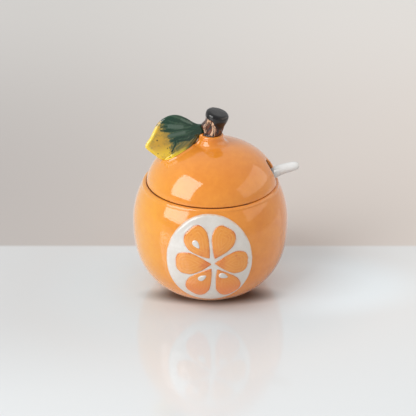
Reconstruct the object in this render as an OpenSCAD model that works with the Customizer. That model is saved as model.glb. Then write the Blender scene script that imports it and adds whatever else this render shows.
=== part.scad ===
// Jam pot in the shape of an orange, with a lift-off lid and a spoon.
// The origin is the middle of the foot, on the table. Z is up, -Y is the front with the orange slice.

/* [Pot] */
// Width of the pot across its belly
pot_d = 101.4; // [92:0.2:116]
// Height of the widest place above the table
belly_z = 45.4; // [43:0.2:48]
// Height of the rim that the lid rests on
rim_z = 74.1; // [72:0.1:79]
// Width of the pot at its rim, as a share of its width
rim_share = 0.852; // [0.84:0.002:0.9]
// Width of the foot on the table
foot_d = 52.4; // [46:0.2:58]
// Thickness of the pot's wall
wall = 4; // [3:0.1:5]
// Height of the inside floor above the table
floor_z = 5; // [4.4:0.1:6.5]
// Rounding of the rim's two edges
rim_round = 1; // [0.6:0.1:1.3]
// Width of the ring that the pot stands on
foot_ring_w = 4.2; // [3:0.1:6]
// Depth of the hollow under the foot
foot_hollow = 1.2; // [0.6:0.1:1.8]

/* [Orange slice] */
// Width of the slice, seen from the front
slice_w = 53.8; // [46:0.2:58]
// Height of the slice, seen from the front
slice_h = 64.4; // [56:0.2:66]
// Height of the middle of the slice above the table
slice_z = 39.7; // [39:0.1:40.4]
// Distance of the slice's middle from the pot's, along X
slice_x = -0.8; // [-3:0.1:3]
// How far the white pith stands out of the pot
pith_t = 1.4; // [1:0.1:2]
// How far the pulp stands out of the pith
pulp_t = 1; // [0.6:0.1:1.6]
// How far a pip stands out of the pulp
pip_t = 0.9; // [0.6:0.1:1.4]
// Length of a pip
pip_l = 5.6; // [4:0.1:7]
// Width of a pip
pip_w = 3.3; // [2.4:0.1:4]

/* [Lid] */
// Rise of the dome above the rim
dome_rise = 26.8; // [23:0.1:30]
// How far the lid's edge keeps inside the rim's
lid_inset = 1; // [0.6:0.05:1.3]
// How far the lid sits off the pot's middle, along X
lid_shift = 0.8; // [0:0.1:1.1]
// Thickness of the lid's wall
lid_wall = 4; // [3.2:0.1:4.8]
// Rounding of the lid's outer edge
lid_round = 0.8; // [0.5:0.1:1.2]
// Depth of the ring that locates the lid in the mouth
flange_depth = 4.5; // [3:0.1:7]
// Thickness of that ring
flange_t = 3.2; // [2.6:0.1:4]
// Gap all round between that ring and the mouth
flange_gap = 2.2; // [1.8:0.1:3]
// Width of the neck at its top, under the stem
neck_d = 15; // [14:0.1:17]
// Width of the neck where it leaves the dome
neck_foot_d = 24; // [20:0.5:28]
// Height of the neck above the dome
neck_h = 5.5; // [4:0.1:8]

/* [Notch for the spoon] */
// Width of the arched notch in the lid
notch_w = 11.4; // [11:0.1:14]
// Height of the notch above the rim
notch_h = 14.2; // [12.6:0.1:15]
// Turn of the notch and the spoon about Z, from +X
notch_turn = 0; // [-8:0.5:8]

/* [Stem] */
// Length of the stem along its own axis
stem_l = 15.4; // [13:0.1:20]
// Width of the stem on the neck
stem_foot_d = 13; // [11:0.1:14]
// Width of the stem at its waist
stem_waist_d = 13; // [10:0.1:13.4]
// Width of the stem near its cut end
stem_top_d = 14.9; // [13:0.1:17]
// Rounding of the cut end
stem_round = 2.2; // [1.4:0.1:3]
// Lean of the stem towards +X
stem_lean = 15; // [5:0.5:18]
// Tilt of the cut end against the stem
stem_cut = 5; // [0:0.5:8]

/* [Leaf] */
// Length of the leaf from its stalk to its tip
leaf_l = 36.7; // [32:0.1:40]
// Width of the leaf across its blade
leaf_w = 27.4; // [24:0.1:30]
// Thickness of the leaf at its middle
leaf_t = 4.8; // [3.8:0.1:6]
// How far the leaf's tip bends back
leaf_bend = 1; // [0:0.1:2]
// Distance of the stalk behind the stem's middle
leaf_back = 0.8; // [0:0.1:2]
// Distance of the stalk from the stem's middle
leaf_reach = 7.1; // [6.8:0.1:7.6]
// Height of the stalk above the neck
leaf_lift = 3.5; // [2.8:0.1:4]
// Roll of the blade about its own length
leaf_roll = -76.3; // [-82:0.1:-70]
// Droop of the leaf towards its tip
leaf_droop = 13.3; // [10:0.1:16]
// Turn of the leaf about Z, from +X
leaf_turn = 195.1; // [190:0.1:200]

/* [Spoon] */
// Length of the spoon's bowl
bowl_l = 32; // [28:0.5:35]
// Width of the spoon's bowl
bowl_w = 24; // [20:0.5:27]
// Depth of the spoon's bowl outside
bowl_h = 7; // [6:0.1:8.5]
// Thickness of the bowl's wall
bowl_t = 2.4; // [1.8:0.1:3]
// Steepness of the bowl as the spoon stands in the pot
bowl_pitch = 42; // [38:0.5:46]
// Width of the handle where it passes the notch
handle_w = 8.6; // [7:0.1:9.4]
// Thickness of the handle where it passes the notch
handle_t = 6.2; // [5.4:0.1:7]
// Width of the handle at its two ends
handle_end_w = 6.2; // [5:0.1:7]
// Thickness of the handle at its two ends
handle_end_t = 4.8; // [4:0.1:5.6]
// How far the handle's end stands out past the rim
handle_reach = 14; // [10:0.2:20]
// Height of the handle's end above the rim
handle_rise = 10.4; // [9:0.1:13]
// Slope of the handle outside the pot
handle_slope = 12; // [8:0.5:16]
// Slope of the handle where it passes the rim
rim_slope = 55; // [48:1:60]
// Distance of the bowl's toe from the pot's axis
toe_x = 25.5; // [22:0.1:28]
// Gap kept where the spoon stands against the pot
spoon_gap = 0.35; // [0.3:0.05:0.6]

/* [Hidden] */
$fn = 120;

// Colours of the glazes
orange_glaze = [0.92, 0.58, 0.20];
pith_glaze = [0.87, 0.86, 0.83];
pulp_glaze = [0.90, 0.56, 0.21];
bark_glaze = [0.30, 0.20, 0.15];
leaf_glaze = [0.36, 0.45, 0.16];
spoon_glaze = [0.93, 0.93, 0.90];

// Steps along the curves
low_steps = 22;
high_steps = 14;
round_steps = 5;
dome_steps = 22;
neck_steps = 6;
drop_steps = 9;
oval_steps = 48;
pip_steps = 14;
leaf_smooth = 3;
leaf_rings = 4;
stem_steps = 6;
bowl_steps = 20;
handle_steps = 12;
handle_sides = 14;
tip_steps = 3;
lift_step = 6;

// Cuts run this far past what they cut
overrun = wall / 4;

// Shapes of the curves: 2 is an ellipse, more is squarer
low_power = 2.45;
high_power = 2;
dome_power = 2.13;
dome_drop_share = 0.15;

// Radii and the two half heights of the pot's curve
belly_r = pot_d / 2;
foot_r = foot_d / 2;
rim_r = belly_r * rim_share;
low_h = belly_z / pow(1 - pow(foot_r / belly_r, low_power), 1 / low_power);
high_h = (rim_z - belly_z) / pow(1 - pow(rim_r / belly_r, high_power), 1 / high_power);
inner_r = belly_r - wall;
inner_low_h = belly_z - floor_z;
mouth_r = rim_r - wall;

// Radius of a curve at a height away from its widest place
function bulge(r, h, p, dz) = r * pow(1 - pow(min(1, abs(dz) / h), p), 1 / p);
function pot_r(z) = z < belly_z
    ? bulge(belly_r, low_h, low_power, belly_z - z)
    : bulge(belly_r, high_h, high_power, z - belly_z);
// Height of the inside floor at a distance from the pot's axis
function floor_at(r) = belly_z - bulge(inner_low_h, inner_r, low_power, r);

// Points of a curve from angle a to angle b; 0 is the widest place
function curve(r, h, p, z0, side, a, b, n) = [
    for (i = [0 : n])
        let (t = a + (b - a) * i / n)
        [r * pow(cos(t), 2 / p), z0 + side * h * pow(sin(t), 2 / p)]
];
function reversed(pts) = [for (i = [len(pts) - 1 : -1 : 0]) pts[i]];
function arc(c, r, a, b) = [
    for (i = [0 : round_steps])
        let (t = a + (b - a) * i / round_steps)
        [c[0] + r * cos(t), c[1] + r * sin(t)]
];

// Angles at which the outside meets the table and the rim's rounding
foot_angle = asin(pow(belly_z / low_h, low_power / 2));
rim_start_z = rim_z - rim_round;
rim_angle = asin(pow((rim_start_z - belly_z) / high_h, high_power / 2));
low_curve = reversed(curve(belly_r, low_h, low_power, belly_z, -1, 0, foot_angle, low_steps));
high_curve = curve(belly_r, high_h, high_power, belly_z, 1, 0, rim_angle, high_steps);
// The outside of the pot from the table to the rim's rounding
pot_curve = concat(low_curve, [for (i = [1 : high_steps]) high_curve[i]]);

module pot_body() {
    rim_out = [pot_r(rim_start_z) - rim_round, rim_start_z];
    rim_in = [pot_r(rim_start_z) - wall + rim_round, rim_start_z];
    inner_high = [for (p = reversed(high_curve)) [p[0] - wall, p[1]]];
    inner_low = curve(inner_r, inner_low_h, low_power, belly_z, -1, 0, 90, low_steps);
    ring_r = foot_r - foot_ring_w;
    outline = concat(
        [[ring_r, 0]],
        pot_curve,
        [for (i = [1 : round_steps]) arc(rim_out, rim_round, 0, 90)[i]],
        [for (i = [0 : round_steps - 1]) arc(rim_in, rim_round, 90, 180)[i]],
        inner_high,
        [for (i = [1 : low_steps]) inner_low[i]],
        [[0, foot_hollow], [ring_r - foot_hollow, foot_hollow]]
    );
    color(orange_glaze)
        rotate_extrude()
            polygon(outline);
}

// A layer on the front of the pot, between two heights above its surface, cut to the shape given
module relief(from, to) {
    intersection() {
        rotate([90, 0, 0])
            linear_extrude(pot_d)
                children();
        rotate_extrude()
            polygon(concat(
                [for (p = pot_curve) [p[0] + to, p[1]]],
                [for (p = reversed(pot_curve)) [p[0] + from, p[1]]]
            ));
    }
}

// Points of an oval
function oval(w, h, n) = [for (i = [0 : n - 1]) [w / 2 * cos(360 * i / n), h / 2 * sin(360 * i / n)]];

module slice_pith() {
    color(pith_glaze)
        relief(0, pith_t)
            translate([slice_x, slice_z])
                polygon(oval(slice_w, slice_h, oval_steps));
}

// Each pulp segment: its tip across and up, its direction, its length and its half width.
// Lengths are shares of the slice's half width across and of its half height up.
segment_shares = [
    [-0.005, 0.168, 130, 0.730, 0.270],
    [0.134, 0.165, 64.5, 0.675, 0.260],
    [0.149, 0.040, -2, 0.732, 0.237],
    [0.194, -0.110, -60, 0.730, 0.272],
    [0.036, -0.087, -125, 0.775, 0.264],
    [0.030, 0.024, -177, 0.823, 0.235]
];
// Where a segment is widest, and how pointed and how full its two ends are
drop_belly_share = 0.62;
drop_point_share = 1.35;
drop_end_share = 2.6;
function drop_half(t) = t < drop_belly_share
    ? 1 - pow(1 - t / drop_belly_share, drop_point_share)
    : pow(1 - pow((t - drop_belly_share) / (1 - drop_belly_share), drop_end_share), 1 / drop_end_share);
function drop(l, w) = [
    for (i = [0 : 2 * drop_steps - 1])
        let (side = i <= drop_steps ? 1 : -1)
        let (t = sin(90 * (i <= drop_steps ? i : 2 * drop_steps - i) / drop_steps))
        [l * t, side * w * drop_half(t)]
];
function turned(p, a) = [p[0] * cos(a) - p[1] * sin(a), p[0] * sin(a) + p[1] * cos(a)];

module slice_segment(k) {
    s = segment_shares[k];
    outline = [
        for (p = drop(s[3], s[4]))
            let (q = turned(p, s[2]))
            [slice_x + (s[0] + q[0]) * slice_w / 2, slice_z + (s[1] + q[1]) * slice_h / 2]
    ];
    color(pulp_glaze)
        relief(pith_t, pith_t + pulp_t)
            polygon(outline);
}

// Each pip: its place as shares of the slice's half width and half height, and its direction
pip_shares = [
    [-0.301, 0.440, -52],
    [-0.165, -0.301, 38],
    [0.326, -0.258, -24]
];

module slice_pip(k) {
    s = pip_shares[k];
    color(pith_glaze)
        relief(pith_t + pulp_t, pith_t + pulp_t + pip_t)
            translate([slice_x + s[0] * slice_w / 2, slice_z + s[1] * slice_h / 2])
                rotate(s[2])
                    polygon(oval(pip_l, pip_w, pip_steps));
}

// Lid: the curve of the dome, outside and inside
lid_r = rim_r - lid_inset;
dome_drop = dome_rise * dome_drop_share;
dome_z = rim_z - dome_drop;
dome_h = dome_rise + dome_drop;
dome_full_r = lid_r / bulge(1, dome_h, dome_power, dome_drop);
dome_in_h = dome_h - lid_wall;
dome_in_r = (lid_r - lid_wall) / bulge(1, dome_in_h, dome_power, dome_drop);
neck_z = rim_z + dome_rise + neck_h;
neck_r = neck_d / 2;
neck_foot_r = neck_foot_d / 2;
neck_round = neck_h / 5;
flange_out_r = mouth_r - flange_gap;
flange_in_r = flange_out_r - flange_t;

// The outside of the lid from its edge up over the neck to the middle
function dome_angle(r) = acos(pow(r / dome_full_r, dome_power / 2));
edge_angle = asin(pow((lid_round + dome_drop) / dome_h, dome_power / 2));
crown_angle = dome_angle(neck_foot_r);
dome_curve = curve(dome_full_r, dome_h, dome_power, dome_z, 1, edge_angle, crown_angle, dome_steps);
edge_c = [dome_curve[0][0] - lid_round, rim_z + lid_round];
neck_foot_z = dome_curve[dome_steps][1];
neck_flank = [
    for (i = [1 : neck_steps])
        let (t = 90 * i / neck_steps)
        let (rise = neck_z - neck_round - neck_foot_z)
        [neck_foot_r - (neck_foot_r - neck_r) * sin(t), neck_foot_z + rise * (1 - cos(t))]
];
lid_outside = concat(
    arc(edge_c, lid_round, -90, 0),
    [for (i = [1 : dome_steps]) dome_curve[i]],
    neck_flank,
    [for (i = [1 : round_steps]) arc([neck_r - neck_round, neck_z - neck_round], neck_round, 0, 90)[i]],
    [[0, neck_z]]
);

// Everything below the lid's outside, for pieces that sit on it
module lid_solid() {
    translate([lid_shift, 0, 0])
        rotate_extrude()
            polygon(concat(lid_outside, [[0, rim_z]]));
}

module notch_cut() {
    reach = lid_r + overrun;
    start = flange_in_r - notch_w / 2;
    foot = rim_z - flange_depth - overrun;
    rotate([0, 0, notch_turn])
        translate([start, 0, rim_z + notch_h - notch_w / 2])
            rotate([90, 0, 90])
                linear_extrude(reach - start + lid_shift) {
                    circle(d = notch_w);
                    translate([-notch_w / 2, foot - rim_z - notch_h + notch_w / 2])
                        square([notch_w, rim_z + notch_h - notch_w / 2 - foot]);
                }
}

module lid_dome() {
    shelf_z = rim_z + lid_wall;
    shelf_angle = asin(pow((shelf_z - dome_z) / dome_in_h, dome_power / 2));
    inside = curve(dome_in_r, dome_in_h, dome_power, dome_z, 1, shelf_angle, 90, dome_steps);
    outline = concat(
        lid_outside,
        reversed(inside),
        [
            [flange_in_r, rim_z],
            [flange_in_r, rim_z - flange_depth],
            [flange_out_r, rim_z - flange_depth],
            [flange_out_r, rim_z]
        ]
    );
    color(orange_glaze)
        difference() {
            translate([lid_shift, 0, 0])
                rotate_extrude()
                    polygon(outline);
            notch_cut();
        }
}

// Stem: a flared trunk that leans, cut level at the neck and aslant at its end
stem_foot_r = stem_foot_d / 2;
stem_waist_r = stem_waist_d / 2;
stem_top_r = stem_top_d / 2;
stem_waist_share = 0.4;
waist_at = stem_l * stem_waist_share;
flare_l = stem_l - stem_round - waist_at;
function stem_r(h) = h < waist_at
    ? stem_waist_r + (stem_foot_r - stem_waist_r) * pow(1 - h / waist_at, 2)
    : stem_waist_r + (stem_top_r - stem_waist_r) * pow(sin(90 * (h - waist_at) / flare_l), 2);

module stem_shape() {
    shoulder = stem_l - stem_round;
    cap = arc([stem_top_r - stem_round, shoulder], stem_round, 0, 90);
    sink = stem_foot_r;
    rise = [for (i = [0 : 2 * stem_steps]) shoulder * i / (2 * stem_steps)];
    translate([lid_shift, 0, neck_z])
        rotate([0, stem_lean, 0])
            rotate_extrude()
                polygon(concat(
                    [[0, -sink], [stem_r(0), -sink]],
                    [for (h = rise) [stem_r(h), h]],
                    [for (i = [1 : round_steps]) cap[i]],
                    [[0, stem_l]]
                ));
}

module stem() {
    block = 2 * stem_l;
    color(bark_glaze)
        difference() {
            stem_shape();
            translate([lid_shift - block, -block, neck_z - block])
                cube([2 * block, 2 * block, block]);
            translate([lid_shift, 0, neck_z])
                rotate([0, stem_lean, 0])
                    translate([0, 0, stem_l - stem_round / 2])
                        rotate([stem_cut, 0, 0])
                            translate([-block, -block, stem_round / 2])
                                cube([2 * block, 2 * block, block]);
        }
}

// Leaf: outline from the stalk along the upper edge to the tip and back along the lower one,
// as shares of its length and of its half width. The stalk runs back into the stem.
leaf_shares = [
    [-0.14, -0.16], [0.00, -0.20], [0.09, -0.36], [0.19, -0.66], [0.31, -0.91],
    [0.44, -1.01], [0.57, -0.97], [0.70, -0.81], [0.81, -0.52], [0.89, -0.29],
    [0.97, -0.12], [1.01, 0.04], [0.99, 0.21], [0.91, 0.52], [0.82, 0.83],
    [0.70, 0.99], [0.56, 0.96], [0.40, 0.85], [0.26, 0.73], [0.15, 0.55],
    [0.04, 0.33], [-0.14, 0.22]
];
// Middle of the blade, towards which its faces crown
leaf_heart_share = 0.52;
// How square the crown's section is
crown_power = 3;

// A point on a smooth closed curve through the outline's points
function smooth(p0, p1, p2, p3, t) = p1
    + (p2 - p0) * t / 2
    + (p0 - 2.5 * p1 + 2 * p2 - p3 / 2) * t * t
    + (1.5 * p1 - p0 / 2 - 1.5 * p2 + p3 / 2) * t * t * t;
function smooth_loop(pts, m) = let (n = len(pts)) [
    for (i = [0 : n - 1])
        for (j = [0 : m - 1])
            smooth(pts[(i + n - 1) % n], pts[i], pts[(i + 1) % n], pts[(i + 2) % n], j / m)
];

module leaf_shape() {
    edge = smooth_loop([for (s = leaf_shares) [s[0] * leaf_l, s[1] * leaf_w / 2]], leaf_smooth);
    n = len(edge);
    heart = [leaf_l * leaf_heart_share, 0];
    // Rings from the front crown over the edge to the back
    tilt = [for (k = [-leaf_rings : leaf_rings]) 90 * k / (leaf_rings + 1)];
    ring = [
        for (a = tilt)
            let (f = pow(cos(a), 2 / crown_power))
            let (z = -sign(a) * leaf_t / 2 * pow(abs(sin(a)), 2 / crown_power))
            [for (p = edge)
                let (q = heart + (p - heart) * f)
                [q[0], q[1], z - leaf_bend * pow(max(0, q[0]) / leaf_l, 2)]]
    ];
    drop_mid = leaf_bend * pow(leaf_heart_share, 2);
    points = concat(
        [for (r = ring) each r],
        [[heart[0], heart[1], leaf_t / 2 - drop_mid], [heart[0], heart[1], -leaf_t / 2 - drop_mid]]
    );
    last = 2 * leaf_rings;
    faces = concat(
        [
            for (k = [0 : last - 1])
                for (i = [0 : n - 1])
                    each [
                        [k * n + i, k * n + (i + 1) % n, (k + 1) * n + i],
                        [k * n + (i + 1) % n, (k + 1) * n + (i + 1) % n, (k + 1) * n + i]
                    ]
        ],
        [for (i = [0 : n - 1]) [(i + 1) % n, i, (last + 1) * n]],
        [for (i = [0 : n - 1]) [last * n + i, last * n + (i + 1) % n, (last + 1) * n + 1]]
    );
    polyhedron(points, faces);
}

module leaf() {
    color(leaf_glaze)
        difference() {
            translate([lid_shift - leaf_reach, leaf_back, neck_z + leaf_lift])
                rotate([leaf_roll, leaf_droop, leaf_turn])
                    leaf_shape();
            lid_solid();
            stem_shape();
        }
}

// Spoon: worked out in the upright plane through the notch, as distance from the axis and height.
// The bowl is the lower cap of a long round shell, cut flat at its rim.
along = [cos(bowl_pitch), sin(bowl_pitch)];
upright = [-along[1], along[0]];
bowl_round = (pow(bowl_w / 2, 2) + pow(bowl_h, 2)) / (2 * bowl_h);
bowl_above = bowl_round - bowl_h;
bowl_long = bowl_l / 2 / sqrt(1 - pow(bowl_above / bowl_round, 2));

// How high the toe has to be for every point of the bowl to clear the pot's inside
bowl_lifts = [
    for (a = [-90 : lift_step : 90])
        for (b = [0 : lift_step : 90])
            let (down = bowl_round * cos(a) * cos(b))
            if (down >= bowl_above)
                let (p = along * (bowl_l / 2 + bowl_long * sin(a)) + upright * (bowl_above - down))
                floor_at(norm([p[0] - toe_x, bowl_round * cos(a) * sin(b)])) - p[1]
];
toe = [-toe_x, max(bowl_lifts) + spoon_gap];
bowl_mid = toe + along * bowl_l / 2 + upright * bowl_above;
heel = toe + along * (bowl_l - bowl_t);

// The handle's middle where it passes the rim's inner edge, and its end outside
over = [cos(rim_slope), sin(rim_slope)];
rim_edge = [pot_r(rim_start_z) - wall + rim_round, rim_start_z];
crossing = rim_edge + [-over[1], over[0]] * (rim_round + spoon_gap + handle_t / 2);
outward = [cos(handle_slope), sin(handle_slope)];
handle_tip = [rim_r + handle_reach, rim_z + handle_rise];
handle_stop = handle_tip - outward * handle_end_t / 2;

// The two bends of the handle: how far each end's direction is held, as shares of the stretch
bowl_hold_share = 0.35;
rim_hold_share = 0.30;
tip_hold_share = 0.42;
inside_run = norm(crossing - heel);
outside_run = norm(handle_stop - crossing);
inside_bend = [
    heel, heel + along * inside_run * bowl_hold_share,
    crossing - over * inside_run * rim_hold_share, crossing
];
outside_bend = [
    crossing, crossing + over * outside_run * rim_hold_share,
    handle_stop - outward * outside_run * tip_hold_share, handle_stop
];
function bend_at(p, t) = pow(1 - t, 3) * p[0] + 3 * pow(1 - t, 2) * t * p[1]
    + 3 * (1 - t) * t * t * p[2] + pow(t, 3) * p[3];
function bend_way(p, t) = let (d = pow(1 - t, 2) * (p[1] - p[0]) + 2 * (1 - t) * t * (p[2] - p[1])
    + t * t * (p[3] - p[2])) d / norm(d);
function blend(a, b, t) = a + (b - a) * (1 - cos(180 * t)) / 2;

// A section of the handle: place, direction, width and thickness, part of the way along a bend
function section(bend, t, w_a, w_b, t_a, t_b) =
    [bend_at(bend, t), bend_way(bend, t), blend(w_a, w_b, t), blend(t_a, t_b, t)];
handle_sections = concat(
    [
        for (i = [0 : handle_steps - 1])
            section(inside_bend, i / handle_steps, handle_end_w, handle_w, handle_end_t, handle_t)
    ],
    [
        for (i = [0 : handle_steps])
            section(outside_bend, i / handle_steps, handle_w, handle_end_w, handle_t, handle_end_t)
    ],
    [
        for (i = [1 : tip_steps])
            let (a = 90 * i / (tip_steps + 1))
            let (place = handle_stop + outward * handle_end_t / 2 * sin(a))
            [place, outward, handle_end_w * cos(a), handle_end_t * cos(a)]
    ]
);

module spoon_handle() {
    n = handle_sides;
    points = [
        for (s = handle_sections)
            for (j = [0 : n - 1])
                let (side = s[2] / 2 * cos(360 * j / n))
                let (up = s[3] / 2 * sin(360 * j / n))
                [s[0][0] - s[1][1] * up, side, s[0][1] + s[1][0] * up]
    ];
    last = len(handle_sections) - 1;
    faces = concat(
        [[for (j = [0 : n - 1]) j], [for (j = [n - 1 : -1 : 0]) last * n + j]],
        [
            for (k = [0 : last - 1])
                for (j = [0 : n - 1])
                    each [
                        [k * n + j, (k + 1) * n + j, k * n + (j + 1) % n],
                        [k * n + (j + 1) % n, (k + 1) * n + j, (k + 1) * n + (j + 1) % n]
                    ]
        ]
    );
    polyhedron(points, faces);
}

// A long round solid about the bowl's length, smaller all round by the amount given
module bowl_round_solid(less) {
    translate([bowl_mid[0], 0, bowl_mid[1]])
        rotate([0, 90 - bowl_pitch, 0])
            rotate_extrude()
                polygon([
                    for (i = [0 : bowl_steps])
                        let (a = -90 + 180 * i / bowl_steps)
                        [(bowl_round - less) * cos(a), (bowl_long - less) * sin(a)]
                ]);
}

module spoon() {
    block = 2 * bowl_l;
    color(spoon_glaze)
        rotate([0, 0, notch_turn])
            difference() {
                union() {
                    intersection() {
                        bowl_round_solid(0);
                        translate([toe[0], 0, toe[1]])
                            rotate([0, -bowl_pitch, 0])
                                translate([-block / 2, -block / 2, -block])
                                    cube([block, block, block]);
                    }
                    spoon_handle();
                }
                bowl_round_solid(bowl_t);
            }
}

pot_body();
slice_pith();
for (k = [0 : 5])
    slice_segment(k);
for (k = [0 : 2])
    slice_pip(k);
lid_dome();
stem();
leaf();
spoon();
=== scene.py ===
"""Looks of a glazed jam pot shaped like an orange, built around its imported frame.

The frame holds the pot, the lid and the spoon as solids in metres. Every piece here replaces the
solid of the same place with a finer mesh and a procedural glaze, and rides on the same body.
"""
import logging
import math
from dataclasses import dataclass
from enum import Enum
from typing import Callable, Sequence

import bpy
import numpy as np
from mathutils import Euler, Matrix, Vector, kdtree, noise


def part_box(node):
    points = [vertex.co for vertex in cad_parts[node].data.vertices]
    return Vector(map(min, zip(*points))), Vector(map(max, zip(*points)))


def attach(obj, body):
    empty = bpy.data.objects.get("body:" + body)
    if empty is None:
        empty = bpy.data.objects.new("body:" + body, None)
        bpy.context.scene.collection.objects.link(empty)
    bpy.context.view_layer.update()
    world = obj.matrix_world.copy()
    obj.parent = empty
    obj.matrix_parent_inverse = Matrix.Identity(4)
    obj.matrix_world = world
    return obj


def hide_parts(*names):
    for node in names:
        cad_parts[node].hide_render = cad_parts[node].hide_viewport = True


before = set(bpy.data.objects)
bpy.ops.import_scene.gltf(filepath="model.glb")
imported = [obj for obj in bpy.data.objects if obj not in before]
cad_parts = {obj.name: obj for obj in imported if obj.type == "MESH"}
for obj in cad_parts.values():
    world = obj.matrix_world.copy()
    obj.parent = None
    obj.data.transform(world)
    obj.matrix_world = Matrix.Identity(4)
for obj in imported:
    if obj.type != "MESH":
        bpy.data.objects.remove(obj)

LOG = logging.getLogger("jam_pot")
MM = 0.001
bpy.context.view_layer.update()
GLAZE_IOR = 1.5
COAT_ROUGHNESS = 0.03
DULL_ROUGHNESS = 0.6
WAVE_SCALE = 42.0
WAVE_HEIGHT = 0.11 * MM
# painted shade: the seam's painted dark fades by this share towards the spoon, where the lid's edge
# catches the light
SEAM_LOSS = 0.62
SEAM_FROM = -5 * MM
SEAM_TO = 36 * MM

Face = tuple[int, ...]
Colour = tuple[float, float, float, float]
Socket = bpy.types.NodeSocket


class Body(Enum):
    """The three loose pieces of the object."""

    POT = "pot"
    LID = "lid"
    SPOON = "spoon_piece"


class Slot(Enum):
    """The record's finishes."""

    ORANGE = "orange_glaze"
    PITH = "pith_glaze"
    PULP = "pulp_glaze"
    BARK = "bark_glaze"
    LEAF = "leaf_glaze"
    SPOON = "spoon_glaze"


def rgb(red: int, green: int, blue: int) -> Colour:
    """Turns a colour written as it looks on a screen into linear light.

    Args:
        red: Red, from 0 to 255.
        green: Green, from 0 to 255.
        blue: Blue, from 0 to 255.

    Returns:
        The linear colour with full alpha.
    """
    linear = []
    for part in (red, green, blue):
        value = part / 255
        linear.append(value / 12.92 if value <= 0.04045 else ((value + 0.055) / 1.055) ** 2.4)
    return (*linear, 1.0)


def bulge(radius: float, height: float, power: float, away: np.ndarray) -> np.ndarray:
    """Radius of a superellipse at a height away from its widest place.

    Args:
        radius: Radius at the widest place.
        height: Height from there to the pole.
        power: Shape of the curve, 2 for an ellipse and more for a squarer one.
        away: Distances from the widest place.

    Returns:
        The radii there.
    """
    share = np.minimum(1.0, np.abs(away) / height)
    return radius * (1 - share**power) ** (1 / power)


def quarter(radius: float, height: float, power: float, angles: np.ndarray) -> np.ndarray:
    """Points of a quarter of a superellipse, with the angle 0 at its widest place.

    Args:
        radius: Radius at the widest place.
        height: Height from there to the pole.
        power: Shape of the curve.
        angles: Angles in radians.

    Returns:
        Rows of radius and height away from the widest place.
    """
    across = radius * np.maximum(np.cos(angles), 0) ** (2 / power)
    along = height * np.maximum(np.sin(angles), 0) ** (2 / power)
    return np.stack([across, along], axis=1)


def rounding(
    centre: Sequence[float],
    radius: float,
    start: float,
    end: float,
    steps: int,
) -> np.ndarray:
    """Points of a small arc in a profile.

    Args:
        centre: Its centre, as radius and height.
        radius: Its radius.
        start: Angle at its start, in degrees.
        end: Angle at its end, in degrees.
        steps: Number of steps.

    Returns:
        Rows of radius and height.
    """
    angles = np.radians(np.linspace(start, end, steps + 1))
    return np.array(centre) + radius * np.stack([np.cos(angles), np.sin(angles)], axis=1)


def rows_of(mesh: bpy.types.Mesh, kind: str = "co") -> np.ndarray:
    """Reads a mesh's points.

    Args:
        mesh: The mesh.
        kind: "co" for the places, or "normal" for the directions of the skin there.

    Returns:
        Rows of x, y and z.
    """
    values = np.zeros(len(mesh.vertices) * 3)
    mesh.vertices.foreach_get(kind, values)
    return values.reshape(-1, 3)


def move_points(obj: bpy.types.Object, points: np.ndarray) -> None:
    """Puts a piece's points in new places."""
    obj.data.vertices.foreach_set("co", points.ravel())
    obj.data.update()


def enclosed(mesh: bpy.types.Mesh) -> float:
    """Measures the volume inside a closed mesh.

    Args:
        mesh: The mesh.

    Returns:
        The volume, below zero where the faces look inwards.
    """
    mesh.calc_loop_triangles()
    corners = np.zeros(len(mesh.loop_triangles) * 3, dtype=np.int32)
    mesh.loop_triangles.foreach_get("vertices", corners)
    first, second, third = rows_of(mesh)[corners].reshape(-1, 3, 3).transpose(1, 0, 2)
    return float(np.sum(first * np.cross(second, third))) / 6


def make_object(name: str, points: np.ndarray, faces: Sequence[Face]) -> bpy.types.Object:
    """Makes a smooth-shaded mesh object whose faces look outwards.

    Args:
        name: Name of the piece.
        points: Rows of x, y and z in metres.
        faces: Corners of each face.

    Returns:
        The object, linked to the scene.
    """
    mesh = bpy.data.meshes.new(name)
    mesh.from_pydata(points.tolist(), [], list(faces))
    if enclosed(mesh) < 0:
        mesh.flip_normals()
    mesh.shade_smooth()
    obj = bpy.data.objects.new(name, mesh)
    bpy.context.scene.collection.objects.link(obj)
    return obj


def add_mask(obj: bpy.types.Object, name: str, values: np.ndarray) -> None:
    """Stores one number per point for the finishes to read.

    Args:
        obj: The piece.
        name: Name of the attribute.
        values: One number per point.
    """
    attribute = obj.data.attributes.new(name, "FLOAT", "POINT")
    attribute.data.foreach_set("value", values.astype(np.float32))


def add_plane(obj: bpy.types.Object, name: str, across: np.ndarray, along: np.ndarray) -> None:
    """Stores a flat place per point, for strokes and streaks that follow the piece.

    Args:
        obj: The piece.
        name: Name of the attribute.
        across: First coordinate per point.
        along: Second coordinate per point.
    """
    attribute = obj.data.attributes.new(name, "FLOAT_VECTOR", "POINT")
    rows = np.stack([across, along, np.zeros_like(across)], axis=1)
    attribute.data.foreach_set("vector", rows.astype(np.float32).ravel())


def strip(first: int, second: int, count: int) -> list[Face]:
    """Quads between two closed rings of points.

    Args:
        first: Number of the first ring's first point.
        second: Number of the second ring's first point.
        count: Number of points in a ring.

    Returns:
        The quads.
    """
    faces = []
    for side in range(count):
        after = (side + 1) % count
        faces.append((first + side, first + after, second + after, second + side))
    return faces


def grid_faces(rows: int, columns: int, first: int = 0) -> list[Face]:
    """Quads between neighbouring closed rings of points.

    Args:
        rows: Number of rings.
        columns: Number of points in a ring.
        first: Number of the first point.

    Returns:
        The quads.
    """
    faces = []
    for start in range(first, first + (rows - 1) * columns, columns):
        faces += strip(start, start + columns, columns)
    return faces


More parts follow.
